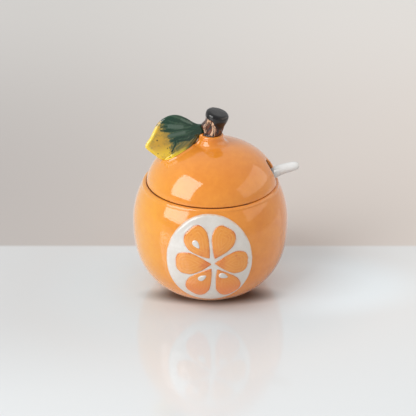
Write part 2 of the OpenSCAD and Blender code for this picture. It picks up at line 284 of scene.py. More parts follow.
def fan(middle: int, first: int, count: int, back: bool = False) -> list[Face]:
    """Triangles between a point and a closed ring of points.

    Args:
        middle: Number of the point.
        first: Number of the ring's first point.
        count: Number of points in the ring.
        back: Whether the triangles are wound the other way round.

    Returns:
        The triangles.
    """
    faces = []
    for side in range(count):
        ends = (first + side, first + (side + 1) % count)
        faces.append((middle, *(ends[::-1] if back else ends)))
    return faces


def revolve(name: str, outline: np.ndarray, sides: int, shift: float = 0.0) -> bpy.types.Object:
    """Turns an outline that starts and ends on the axis into a closed solid.

    Args:
        name: Name of the piece.
        outline: Rows of radius and height, anticlockwise seen with the axis on the left.
        sides: Number of sides round the axis.
        shift: Distance of the axis from the middle, along X.

    Returns:
        The object.
    """
    turns = 2 * math.pi * np.arange(sides) / sides
    middle = outline[1:-1]
    x = shift + middle[:, :1] * np.cos(turns)
    y = middle[:, :1] * np.sin(turns)
    z = np.repeat(middle[:, 1:], sides, axis=1)
    ring = np.stack([x.ravel(), y.ravel(), z.ravel()], axis=1)
    poles = np.array([[shift, 0, outline[0, 1]], [shift, 0, outline[-1, 1]]])
    faces = grid_faces(len(middle), sides)
    faces += fan(len(ring), 0, sides, back=True)
    faces += fan(len(ring) + 1, len(ring) - sides, sides)
    return make_object(name, np.concatenate([ring, poles]), faces)


def swell(points: np.ndarray) -> np.ndarray:
    """Slow unevenness of a slip-cast wall at each point, in metres."""
    return WAVE_HEIGHT * np.array([noise.noise(Vector(row)) for row in points * WAVE_SCALE])


def resample(outline: np.ndarray, step: float) -> np.ndarray:
    """Fills the long stretches of an outline with points.

    Args:
        outline: Rows of radius and height.
        step: Longest distance left between two points.

    Returns:
        The outline's own points and those between them.
    """
    rows = []
    for start, end in zip(outline[:-1], outline[1:]):
        count = max(1, math.ceil(float(np.linalg.norm(end - start)) / step))
        shares = np.arange(count)[:, None] / count
        rows.append(start + (end - start) * shares)
    rows.append(outline[-1:])
    return np.concatenate(rows)


def smoothstep(values: np.ndarray, low: float, high: float) -> np.ndarray:
    """Maps values from low to high smoothly onto 0 to 1."""
    share = np.clip((values - low) / (high - low), 0, 1)
    return share * share * (3 - 2 * share)


def near_tree(points: np.ndarray) -> kdtree.KDTree:
    """Makes a search tree.

    Args:
        points: Rows of three coordinates.

    Returns:
        The tree, which numbers the points by their rows.
    """
    tree = kdtree.KDTree(len(points))
    for index, point in enumerate(points):
        tree.insert(point, index)
    tree.balance()
    return tree


def covered(points: np.ndarray, loop: np.ndarray) -> np.ndarray:
    """Tells which flat points lie inside a closed loop.

    Args:
        points: Rows of two coordinates.
        loop: Rows of two coordinates along the loop.

    Returns:
        True for each point inside.
    """
    inside = np.zeros(len(points), dtype=bool)
    for (x0, y0), (x1, y1) in zip(loop, np.roll(loop, -1, axis=0)):
        between = (points[:, 1] < y0) != (points[:, 1] < y1)
        with np.errstate(divide="ignore", invalid="ignore"):
            cross = x0 + (points[:, 1] - y0) * (x1 - x0) / (y1 - y0)
        inside ^= between & (points[:, 0] < cross)
    return inside


def gap_to(points: np.ndarray, others: np.ndarray) -> np.ndarray:
    """Distance from each flat point to the nearest of some others."""
    return np.linalg.norm(points[:, None, :] - others[None, :, :], axis=2).min(axis=1)


def wrapped(angles: np.ndarray, middle: float) -> np.ndarray:
    """Angles measured from a middle one, from minus to plus half a turn."""
    return np.mod(angles - middle + math.pi, 2 * math.pi) - math.pi


def smooth_loop(points: np.ndarray, steps: int) -> np.ndarray:
    """A smooth closed curve through points.

    Args:
        points: Rows of two coordinates.
        steps: Steps between two points.

    Returns:
        Rows of two coordinates.
    """
    before = np.roll(points, 1, axis=0)
    after = np.roll(points, -1, axis=0)
    beyond = np.roll(points, -2, axis=0)
    parts = []
    for step in range(steps):
        t = step / steps
        parts.append(
            points
            + (after - before) * t / 2
            + (before - 2.5 * points + 2 * after - beyond / 2) * t**2
            + (1.5 * points - before / 2 - 1.5 * after + beyond / 2) * t**3
        )
    return np.stack(parts, axis=1).reshape(-1, 2)


class Graph:
    """Adds nodes to a tree and wires them."""

    place: Socket

    def __init__(self, tree: bpy.types.NodeTree) -> None:
        """Keeps the tree that is built."""
        self.tree = tree

    def add(self, kind: str, **settings: object) -> bpy.types.Node:
        """Adds a node.

        Args:
            kind: Blender's name of the node's type.
            **settings: Properties of the node.

        Returns:
            The node.
        """
        node = self.tree.nodes.new(kind)
        for key, value in settings.items():
            setattr(node, key, value)
        return node

    def feed(self, target: Socket, source: object) -> None:
        """Sets a socket to a value, or links it to another socket.

        Args:
            target: The socket that is fed.
            source: A value, or the socket that it takes its value from.
        """
        if isinstance(source, bpy.types.NodeSocket):
            self.tree.links.new(source, target)
        else:
            target.default_value = source

    def math(self, operation: str, *values: object, clamp: bool = False) -> Socket:
        """One Math node.

        Args:
            operation: Blender's name of the operation.
            *values: Values or sockets, in the node's order.
            clamp: Whether the result is kept from 0 to 1.

        Returns:
            The result's socket.
        """
        node = self.add("ShaderNodeMath", operation=operation, use_clamp=clamp)
        for socket, value in zip(node.inputs, values):
            self.feed(socket, value)
        return node.outputs[0]

    def times(self, first: object, second: object) -> Socket:
        """The product of two values or sockets."""
        return self.math("MULTIPLY", first, second)

    def plus(self, first: object, second: object) -> Socket:
        """The sum of two values or sockets."""
        return self.math("ADD", first, second)

    def vector(self, operation: str, *values: object) -> Socket:
        """One Vector Math node.

        Args:
            operation: Blender's name of the operation.
            *values: Vectors or sockets, in the node's order.

        Returns:
            The socket of its vector, or of its number where it gives one.
        """
        node = self.add("ShaderNodeVectorMath", operation=operation)
        for socket, value in zip(node.inputs, values):
            self.feed(socket, value)
        return node.outputs["Value" if operation in ("LENGTH", "DOT_PRODUCT") else "Vector"]

    def axes(self, place: Socket) -> Sequence[Socket]:
        """Splits a place into its coordinates.

        Args:
            place: Socket with the place.

        Returns:
            The sockets of the three coordinates.
        """
        node = self.add("ShaderNodeSeparateXYZ")
        self.feed(node.inputs[0], place)
        return node.outputs

    def mix(self, factor: object, first: object, second: object) -> Socket:
        """Mixes two colours.

        Args:
            factor: Share of the second colour.
            first: First colour or socket.
            second: Second colour or socket.

        Returns:
            The colour's socket.
        """
        node = self.add("ShaderNodeMix", data_type="RGBA")
        self.feed(node.inputs[0], factor)
        self.feed(node.inputs[6], first)
        self.feed(node.inputs[7], second)
        return node.outputs[2]

    def span(
        self,
        value: object,
        low: float,
        high: float,
        to_low: float = 0.0,
        to_high: float = 1.0,
    ) -> Socket:
        """Maps a range of values smoothly to another range.

        Args:
            value: Value or socket.
            low: Start of the range.
            high: End of the range.
            to_low: Result at the start.
            to_high: Result at the end.

        Returns:
            The result's socket.
        """
        node = self.add("ShaderNodeMapRange", interpolation_type="SMOOTHSTEP")
        for socket, source in zip(node.inputs, (value, low, high, to_low, to_high)):
            self.feed(socket, source)
        return node.outputs[0]

    def clouds(
        self,
        scale: object,
        detail: float = 2.0,
        roughness: float = 0.5,
        at: Socket | None = None,
    ) -> Socket:
        """Noise that varies over the surface.

        Args:
            scale: Number of features per metre, or its socket.
            detail: Number of finer layers.
            roughness: Strength of the finer layers.
            at: Socket with the place, or None for the graph's own.

        Returns:
            The noise's socket, about 0.5 on average.
        """
        node = self.add("ShaderNodeTexNoise")
        self.feed(node.inputs["Vector"], self.place if at is None else at)
        self.feed(node.inputs["Scale"], scale)
        self.feed(node.inputs["Detail"], detail)
        self.feed(node.inputs["Roughness"], roughness)
        return node.outputs["Fac"]

    def waver(self, scale: float, detail: float = 2.0) -> Socket:
        """Noise that wavers about zero."""
        return self.math("SUBTRACT", self.clouds(scale, detail), 0.5)

    def mask(self, name: str) -> Socket:
        """Reads one of a piece's stored numbers."""
        return self.add("ShaderNodeAttribute", attribute_name=name).outputs["Fac"]

    def plane(self, name: str) -> Socket:
        """Reads one of a piece's stored flat places."""
        return self.add("ShaderNodeAttribute", attribute_name=name).outputs["Vector"]

    def group(self, name: str, at: Socket | None = None, **values: object) -> Socket:
        """Places one of the shared effects.

        Args:
            name: Name of the node group.
            at: Socket with the place, or None for the graph's own.
            **values: Its further inputs.

        Returns:
            The socket of what it gives.
        """
        node = self.add("ShaderNodeGroup", node_tree=bpy.data.node_groups[name])
        for key, value in {"Vector": self.place if at is None else at, **values}.items():
            self.feed(node.inputs[key], value)
        return node.outputs[0]


class Effect(Graph):
    """The graph of one shared effect, which gives one value for each place."""

    def __init__(self, name: str, result: str, **inputs: object) -> None:
        """Starts the effect.

        Args:
            name: Name of the node group.
            result: Name of the value that it gives.
            **inputs: Its inputs besides the place, with their defaults; three numbers make a vector.
        """
        super().__init__(bpy.data.node_groups.new(name, "ShaderNodeTree"))
        sockets = self.tree.interface
        for key, value in {"Vector": (0.0, 0.0, 0.0), **inputs}.items():
            kind = "NodeSocketFloat" if isinstance(value, float) else "NodeSocketVector"
            socket = sockets.new_socket(key, in_out="INPUT", socket_type=kind)
            socket.default_value = value
        sockets.new_socket(result, in_out="OUTPUT", socket_type="NodeSocketFloat")
        self.given = dict(self.add("NodeGroupInput").outputs.items())
        self.place = self.given["Vector"]
        self.result = self.add("NodeGroupOutput").inputs[result]


def build_mottle_group() -> None:
    """Builds Mottle: the slow and the fine clouds in a fired glaze."""
    graph = Effect("Mottle", "Value", Scale=40.0, Fine=0.35)
    scale = graph.given["Scale"]
    slow = graph.clouds(scale, 2.0, 0.55)
    fine = graph.math("SUBTRACT", graph.clouds(graph.times(scale, 7.0), 3.0, 0.6), 0.5)
    mixed = graph.math("MULTIPLY_ADD", fine, graph.given["Fine"], slow)
    graph.feed(graph.result, graph.span(mixed, 0.25, 0.75))


def build_speck_group() -> None:
    """Builds Specks: sparse dark grains burnt through the glaze."""
    graph = Effect("Specks", "Mask", Scale=220.0, Size=0.1, Share=0.1)
    cells = graph.add("ShaderNodeTexVoronoi")
    graph.feed(cells.inputs["Vector"], graph.place)
    graph.feed(cells.inputs["Scale"], graph.given["Scale"])
    chance = graph.add("ShaderNodeTexWhiteNoise")
    graph.feed(chance.inputs["Vector"], cells.outputs["Position"])
    kept = graph.math("LESS_THAN", chance.outputs["Value"], graph.given["Share"])
    size = graph.times(graph.given["Size"], graph.plus(chance.outputs["Value"], 0.5))
    share = graph.math("DIVIDE", cells.outputs["Distance"], size)
    inside = graph.math("SUBTRACT", 1.0, share, clamp=True)
    graph.feed(graph.result, graph.times(kept, graph.span(inside, 0.0, 0.55)))


def build_ripple_group() -> None:
    """Builds Ripple: the uneven skin of a hand-dipped glaze, as a height."""
    graph = Effect("Ripple", "Height", Scale=60.0, Fine=0.15)
    scale = graph.given["Scale"]
    waves = graph.clouds(scale, 1.0, 0.4)
    skin = graph.clouds(graph.times(scale, 6.0), 2.0, 0.5)
    graph.feed(graph.result, graph.math("MULTIPLY_ADD", skin, graph.given["Fine"], waves))


def build_streak_group() -> None:
    """Builds Streaks: brush hairs and fibres that run along the second coordinate."""
    graph = Effect("Streaks", "Value", Width=0.001, Length=0.02, Waver=0.0006)
    width = graph.given["Width"]
    x, y, z = graph.axes(graph.place)
    shifted = graph.math("MULTIPLY_ADD", graph.waver(120.0, 1.0), graph.given["Waver"], x)
    place = graph.add("ShaderNodeCombineXYZ")
    for socket, value, size in zip(place.inputs, (shifted, y, z), (width, graph.given["Length"], width)):
        graph.feed(socket, graph.math("DIVIDE", value, size))
    hairs = graph.clouds(1.0, 3.0, 0.6, at=place.outputs[0])
    graph.feed(graph.result, graph.span(hairs, 0.3, 0.7))


def build_mark_group() -> None:
    """Builds Mark: one stroke of a loaded brush between two points, with a wavering edge."""
    ends = {"Start": (0.0, 0.0, 0.0), "End": (0.0, 0.0, 0.0)}
    graph = Effect("Mark", "Mask", **ends, Width=0.001, Soft=0.4)
    stroke = graph.vector("SUBTRACT", graph.given["End"], graph.given["Start"])
    away = graph.vector("SUBTRACT", graph.place, graph.given["Start"])
    length = graph.vector("DOT_PRODUCT", stroke, stroke)
    reach = graph.vector("DOT_PRODUCT", away, stroke)
    share = graph.math("DIVIDE", reach, graph.math("MAXIMUM", length, 1e-12), clamp=True)
    along = graph.add("ShaderNodeVectorMath", operation="SCALE")
    graph.feed(along.inputs[0], stroke)
    graph.feed(along.inputs["Scale"], share)
    gap = graph.vector("LENGTH", graph.vector("SUBTRACT", away, along.outputs[0]))
    near = graph.math("SUBTRACT", 1.0, graph.math("DIVIDE", gap, graph.given["Width"]))
    edge = graph.plus(near, graph.times(graph.waver(900.0), 1.1))
    graph.feed(graph.result, graph.math("DIVIDE", edge, graph.given["Soft"], clamp=True))


@dataclass(frozen=True)
class Gloss:
    """How a fired glaze shines."""

    low: float = 0.05
    high: float = 0.12
    ripple_scale: float = 60.0
    ripple_depth: float = 0.0002
    fine: float = 0.36
    coat: float = 0.7


class Finish(Graph):
    """The graph of one material."""

    def __init__(self, name: str) -> None:
        """Starts the material and reads the place on the piece, in metres.

        Args:
            name: Name of the material.
        """
        self.material = bpy.data.materials.new(name)
        self.material.use_nodes = True
        super().__init__(self.material.node_tree)
        self.shader = self.tree.nodes["Principled BSDF"]
        self.place = self.add("ShaderNodeTexCoord").outputs["Object"]
        self.base: object = (0.0, 0.0, 0.0, 1.0)

    def cover(self, share: Socket, colour: object) -> None:
        """Lays a colour over what is there, as far as the share says."""
        self.base = self.mix(share, self.base, colour)

    def glaze(
        self,
        gloss: Gloss,
        extra: Socket | None = None,
        dull: Socket | None = None,
    ) -> bpy.types.Material:
        """Gives the surface its colours and the wavering gloss of a fired glaze.

        Args:
            gloss: How it shines.
            extra: Socket with a further height in metres, or None.
            dull: Socket with the share of lost gloss, or None.

        Returns:
            The material.
        """
        inputs = self.shader.inputs
        self.feed(inputs["Base Color"], self.base)
        cloud = self.group("Mottle", Scale=gloss.ripple_scale, Fine=0.6)
        roughness = self.span(cloud, 0.0, 1.0, gloss.low, gloss.high)
        inputs["IOR"].default_value = GLAZE_IOR
        inputs["Coat Weight"].default_value = gloss.coat
        if dull is not None:
            roughness = self.plus(roughness, self.times(dull, DULL_ROUGHNESS))
            self.feed(inputs["Coat Weight"], self.span(dull, 0.0, 0.6, gloss.coat, 0.0))
        self.feed(inputs["Roughness"], roughness)
        inputs["Coat Roughness"].default_value = COAT_ROUGHNESS
        ripple = self.group("Ripple", Scale=gloss.ripple_scale, Fine=gloss.fine)
        height = self.times(ripple, gloss.ripple_depth)
        if extra is not None:
            height = self.plus(height, extra)
        bump = self.add("ShaderNodeBump")
        bump.inputs["Strength"].default_value = 1.0
        bump.inputs["Distance"].default_value = 1.0
        self.feed(bump.inputs["Height"], height)
        self.feed(inputs["Normal"], bump.outputs["Normal"])
        return self.material


@dataclass(frozen=True)
class OrangeGlaze:
    """Orange glaze outside, creamy glaze inside and bare clay where the pot stands."""

    light: Colour = rgb(240, 154, 56)
    deep: Colour = rgb(229, 139, 46)
    # painted light: the yellow of the lit left side
    sunny: Colour = rgb(226, 160, 44)
    run: Colour = rgb(222, 128, 46)
    speck: Colour = rgb(150, 74, 34)
    # painted shade in the seam and in the leaf's crease, partly pooled glaze
    pooled_shade: Colour = rgb(104, 44, 24)
    broken: Colour = rgb(216, 212, 206)
    lining: Colour = rgb(232, 227, 216)
    lining_deep: Colour = rgb(220, 211, 194)
    clay: Colour = rgb(214, 196, 172)
    clay_deep: Colour = rgb(184, 164, 140)
    gloss: Gloss = Gloss()

    def build(self) -> bpy.types.Material:
        """Builds the finish.

        Returns:
            Its material.
        """
        graph = Finish("orange_glaze")
        mottle = graph.group("Mottle", Scale=34.0, Fine=0.5)
        graph.base = graph.mix(mottle, self.light, self.deep)
        x = graph.axes(graph.place)[0]
        # painted light: yellower towards the lit left side, then soft runs and burnt specks all over
        graph.cover(graph.span(x, -0.012, -0.045, 0.0, 0.8), self.sunny)
        runs = graph.group("Streaks", Width=0.004, Length=0.012, Waver=0.003)
        graph.cover(graph.times(runs, 0.22), self.run)
        specks = graph.group("Specks", Scale=170.0, Size=0.11, Share=0.05)
        graph.cover(graph.times(specks, 0.75), self.speck)
        # painted shade: dark brown in the seam between lid and pot and in the crease round the leaf,
        # partly glaze pooled there, and pale where the glaze breaks at the notch
        waver = graph.waver(160.0, 2.0)
        pool_and_shade = graph.math("MULTIPLY_ADD", waver, 0.5, graph.mask("pool_and_shade"))
        pooled_shade = graph.span(pool_and_shade, 0.25, 0.75)
        graph.cover(graph.times(pooled_shade, 0.94), self.pooled_shade)
        worn = graph.times(graph.mask("worn"), graph.clouds(500.0, 2.0))
        graph.cover(graph.span(worn, 0.15, 0.5), self.broken)
        # the lining starts with a wavering edge, and the foot is bare
        inner = graph.math("MULTIPLY_ADD", waver, 0.5, graph.mask("lining"))
        lining = graph.mix(mottle, self.lining, self.lining_deep)
        graph.cover(graph.span(inner, 0.42, 0.58), lining)
        grain = graph.clouds(1400.0, 3.0)
        bare = graph.mask("clay")
        graph.cover(bare, graph.mix(grain, self.clay, self.clay_deep))
        return graph.glaze(self.gloss, dull=graph.math("MAXIMUM", pooled_shade, bare))


@dataclass(frozen=True)
class PithGlaze:
    """Off-white glaze of the slice's pith and of its pips."""

    light: Colour = rgb(223, 221, 216)
    deep: Colour = rgb(211, 207, 201)
    stain: Colour = rgb(222, 174, 122)
    gloss: Gloss = Gloss(low=0.10, high=0.2, ripple_depth=0.00014)

    def build(self) -> bpy.types.Material:
        """Builds the finish.

        Returns:
            Its material.
        """
        graph = Finish("pith_glaze")
        mottle = graph.group("Mottle", Scale=60.0, Fine=0.5)
        graph.base = graph.mix(mottle, self.light, self.deep)
        bleed = graph.mask("bleed")
        patchy = graph.span(graph.clouds(240.0, 2.0), 0.3, 0.75)
        graph.cover(graph.times(graph.times(bleed, patchy), 0.8), self.stain)
        return graph.glaze(self.gloss)


@dataclass(frozen=True)
class PulpGlaze:
    """Orange glaze of the pulp, darker where it pools at the edges."""

    light: Colour = rgb(235, 156, 68)
    deep: Colour = rgb(225, 138, 56)
    edge: Colour = rgb(212, 114, 46)
    blush: Colour = rgb(212, 112, 56)
    ring: Colour = rgb(242, 180, 98)
    low: Colour = rgb(238, 124, 48)
    gloss: Gloss = Gloss(low=0.08, high=0.18, ripple_scale=90.0, ripple_depth=0.00014)
    fibre_depth: float = 0.00005

    def build(self) -> bpy.types.Material:
        """Builds the finish.

        Returns:
            Its material.
        """
        graph = Finish("pulp_glaze")
        fibres = graph.plane("fibres")
        streaks = graph.group("Streaks", fibres, Width=0.0016, Length=0.012, Waver=0.002)
        graph.base = graph.mix(graph.times(streaks, 0.6), self.light, self.deep)
        cloud = graph.group("Mottle", Scale=150.0, Fine=0.8)
        graph.cover(graph.times(graph.span(cloud, 0.88, 1.0), 0.5), self.blush)
        # pale rings that follow the segment's edge, broken up by the fibres
        inward = graph.mask("inward")
        rings = graph.math("SINE", graph.plus(graph.times(inward, 34.0), cloud))
        faded = graph.times(graph.span(rings, 0.0, 1.0), graph.span(streaks, 0.2, 0.9, 0.1, 0.55))
        graph.cover(faded, self.ring)
        # redder low on the pot and at the segment's tip, and darkest along its edge
        z = graph.axes(graph.place)[2]
        graph.cover(graph.span(z, 0.036, 0.012, 0.0, 0.85), self.low)
        from_tip = graph.axes(fibres)[1]
        tip = graph.times(graph.span(from_tip, 0.010, 0.002), graph.span(cloud, 0.3, 0.8, 0.3, 0.8))
        graph.cover(tip, self.blush)
        edge = graph.mask("edge")
        rough = graph.plus(edge, graph.times(graph.math("SUBTRACT", cloud, 0.5), 0.35))
        graph.cover(graph.span(rough, 0.3, 0.85), self.edge)
        return graph.glaze(self.gloss, graph.times(streaks, self.fibre_depth))


@dataclass(frozen=True)
class BarkGlaze:
    """Brown bark with tan ridges, kept to the lit side as painted light, under a glossy black cap."""

    tan: Colour = rgb(224, 184, 150)
    brown: Colour = rgb(116, 62, 36)
    dark: Colour = rgb(36, 20, 16)
    cap: Colour = rgb(20, 20, 22)
    gloss: Gloss = Gloss(low=0.06, high=0.2, ripple_scale=160.0, ripple_depth=0.00022, coat=0.1)
    fibre_depth: float = 0.00015

    def build(self) -> bpy.types.Material:
        """Builds the finish.

        Returns:
            Its material.
        """
        graph = Finish("bark_glaze")
        grain = graph.plane("grain")
        streaks = graph.group("Streaks", grain, Width=0.0013, Length=0.007, Waver=0.002)
        graph.base = graph.mix(graph.span(streaks, 0.3, 0.8), self.dark, self.brown)
        # painted light: tan on the ridges of the lit front-left side, then dark cracks and a dark foot
        fine = graph.group("Streaks", grain, Width=0.0008, Length=0.006, Waver=0.0012)
        ridge = graph.mask("tan")
        lit = graph.times(ridge, graph.span(fine, 0.2, 0.7, 0.1, 1.1))
        graph.cover(graph.span(lit, 0.36, 0.6), self.tan)
        veins = graph.group("Streaks", grain, Width=0.0006, Length=0.004, Waver=0.002)
        graph.cover(graph.span(veins, 0.3, 0.12, 0.0, 0.85), self.dark)
        foot = graph.plus(graph.axes(grain)[1], graph.times(veins, 0.001))
        graph.cover(graph.span(foot, 0.002, 0.0012, 0.0, 0.9), self.dark)
        # the glossy cap runs down over the bark, whose fibres it hides
        waver = graph.waver(260.0, 2.0)
        cap = graph.math("MULTIPLY_ADD", waver, 0.7, graph.mask("cap"))
        black = graph.span(cap, 0.42, 0.58)
        graph.cover(black, self.cap)
        height = graph.times(fine, graph.span(black, 0.0, 1.0, self.fibre_depth, 0.0))
        return graph.glaze(self.gloss, height)


@dataclass(frozen=True)
class BrushMark:
    """One stroke on the leaf, as shares of its length and half width, with its width in mm."""

    start: tuple[float, float]
    end: tuple[float, float]
    width: float
    soft: float = 0.5


@dataclass(frozen=True)
class LeafGlaze:
    """Hand-painted leaf: dark green strokes from the stalk over grey-green, olive and yellow."""

    green: Colour = rgb(14, 58, 40)
    grey: Colour = rgb(54, 84, 64)
    patch: Colour = rgb(78, 102, 88)
    moss: Colour = rgb(92, 104, 62)
    olive: Colour = rgb(142, 128, 66)
    yellow: Colour = rgb(202, 160, 58)
    bright: Colour = rgb(236, 202, 54)
    dot: Colour = rgb(70, 66, 34)
    gloss: Gloss = Gloss(low=0.06, high=0.16, ripple_scale=140.0, ripple_depth=0.00022)
    length: float = 36.7 * MM
    half_width: float = 13.7 * MM

    def paint(
        self,
        graph: Finish,
        blade: Socket,
        marks: Sequence[BrushMark],
        colour: Colour,
    ) -> None:
        """Lays strokes over the leaf.

        Args:
            graph: The material's graph.
            blade: Socket with the place on the leaf.
            marks: The strokes.
            colour: Their colour.
        """
        for mark in marks:
            ends = {}
            for name, (along, across) in (("Start", mark.start), ("End", mark.end)):
                ends[name] = (along * self.length, across * self.half_width, 0.0)
            mask = graph.group("Mark", blade, **ends, Width=mark.width * MM, Soft=mark.soft)
            graph.cover(mask, colour)

    def build(self) -> bpy.types.Material:
        """Builds the finish.

        Returns:
            Its material.
        """
        graph = Finish("leaf_glaze")
        blade = graph.plane("blade")
        u, v = graph.axes(blade)[:2]
        along = graph.math("DIVIDE", u, self.length)
        across = graph.math("DIVIDE", v, self.half_width)
        hairs = graph.plane("hairs")
        hair = graph.group("Streaks", hairs, Width=0.0013, Length=0.014, Waver=0.001)
        cloud = graph.group("Mottle", Scale=150.0, Fine=0.8)
        # below zero on the green half near the stalk, above zero on the yellow half
        tone = graph.math("SUBTRACT", along, graph.span(across, -0.9, 0.9, 0.67, 0.56))
        tone = graph.plus(tone, graph.times(graph.math("SUBTRACT", cloud, 0.5), 0.12))
        tone = graph.plus(tone, graph.times(graph.math("SUBTRACT", hair, 0.5), -0.1))
        sunny = graph.mix(graph.span(across, 0.1, 0.7), self.yellow, self.bright)
        sunny = graph.mix(graph.times(graph.span(cloud, 0.45, 0.95), 0.6), sunny, self.olive)
        graph.base = graph.mix(graph.span(tone, -0.06, 0.08), self.olive, sunny)
        leafy = graph.mix(graph.span(hair, 0.4, 0.9), self.grey, self.green)
        dull = graph.mix(graph.span(hair, 0.2, 0.8), self.olive, self.moss)
        lower = graph.plus(across, graph.times(cloud, 0.3))
        leafy = graph.mix(graph.span(lower, 0.3, 0.62), leafy, dull)
        graph.cover(graph.span(tone, 0.0, -0.09), leafy)
        # a bright rim on the lower side, a green stalk and then the strokes
        slant = graph.math("SUBTRACT", across, graph.times(along, 0.95))
        rim = graph.times(graph.span(slant, 0.14, 0.3), graph.span(along, 0.26, 0.46))
        graph.cover(graph.times(rim, 0.5), self.bright)
        stalk = graph.plus(along, graph.times(hair, -0.25))
        graph.cover(graph.span(stalk, 0.16, 0.0), self.green)
        for marks, colour in (
            (LEAF_PATCHES, self.patch),
            (LEAF_STROKES, self.green),
            (LEAF_DOTS, self.dot),
        ):
            self.paint(graph, blade, marks, colour)
        # painted light: the side wall at the tip, which faces the light, is painted bright
        edge = graph.span(graph.mask("edge"), 0.82, 0.93)
        tip = graph.span(graph.plus(along, graph.times(across, 0.25)), 0.5, 0.62)
        graph.cover(graph.times(edge, tip), self.bright)
        return graph.glaze(self.gloss)


@dataclass(frozen=True)
class SpoonGlaze:
    """Plain white glaze of the spoon."""

    light: Colour = rgb(230, 231, 230)
    deep: Colour = rgb(216, 216, 212)
    speck: Colour = rgb(150, 130, 104)
    gloss: Gloss = Gloss(low=0.06, high=0.14, ripple_scale=90.0, ripple_depth=0.00014)

    def build(self) -> bpy.types.Material:
        """Builds the finish.

        Returns:
            Its material.
        """
        graph = Finish("spoon_glaze")
        mottle = graph.group("Mottle", Scale=70.0, Fine=0.4)
        graph.base = graph.mix(mottle, self.light, self.deep)
        specks = graph.group("Specks", Scale=260.0, Size=0.09, Share=0.04)
        graph.cover(graph.times(specks, 0.5), self.speck)
        return graph.glaze(self.gloss)


LEAF_PATCHES = (
    BrushMark((0.52, -0.56), (0.32, -0.36), 1.7),
    BrushMark((0.28, -0.70), (0.14, -0.32), 0.9),
    BrushMark((0.57, -0.14), (0.30, -0.08), 1.2),
    BrushMark((0.25, 0.19), (0.26, 0.21), 0.5),
)
LEAF_STROKES = (
    BrushMark((0.60, -0.92), (0.44, -0.88), 1.2),
    BrushMark((0.46, -0.86), (0.34, -0.66), 1.6),
    BrushMark((0.36, -0.70), (0.06, -0.10), 0.7),
    BrushMark((0.24, -0.46), (0.10, -0.18), 0.7),
    BrushMark((0.50, -0.30), (0.28, -0.22), 0.45),
    BrushMark((0.28, -0.22), (0.07, 0.00), 0.5),
    BrushMark((0.52, -0.74), (0.63, -0.82), 0.7),
    BrushMark((0.56, -0.58), (0.66, -0.64), 0.6),
    BrushMark((0.60, -0.40), (0.68, -0.49), 0.6),
    BrushMark((0.53, -0.34), (0.60, -0.40), 0.6),
    BrushMark((0.46, 0.06), (0.27, 0.14), 1.1),
    BrushMark((0.46, 0.21), (0.28, 0.31), 0.8),
    BrushMark((0.26, 0.33), (0.16, 0.06), 1.0),
    BrushMark((0.18, 0.10), (0.05, 0.10), 1.4),
    BrushMark((0.49, 0.06), (0.50, 0.32), 0.7, 0.3),
    BrushMark((0.50, 0.32), (0.60, 0.60), 0.55, 0.3),
)
LEAF_DOTS = (
    BrushMark((0.79, -0.11), (0.79, -0.10), 0.55),
    BrushMark((0.93, 0.20), (0.93, 0.20), 0.35),
    BrushMark((0.84, 0.51), (0.85, 0.52), 0.6),
    BrushMark((0.66, 0.85), (0.65, 0.85), 0.55),
    BrushMark((0.66, 0.38), (0.66, 0.39), 0.45),
    BrushMark((0.61, 0.61), (0.60, 0.60), 0.5),
)


def finish_piece(
    obj: bpy.types.Object,
    body: Body,
    slot: Slot,
    material: bpy.types.Material,
    *nodes: str,
) -> None:
    """Dresses a piece, puts it on its body and lets it stand for its solids.

    Args:
        obj: The piece.
        body: The body that it rides on.
        slot: The record's finish, not used here.
        material: Its material.
        *nodes: The solids that it replaces.
    """
    obj.data.materials.append(material)
    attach(obj, body.value)
    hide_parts(*nodes)
    LOG.info("%s: %d faces", obj.name, len(obj.data.polygons))


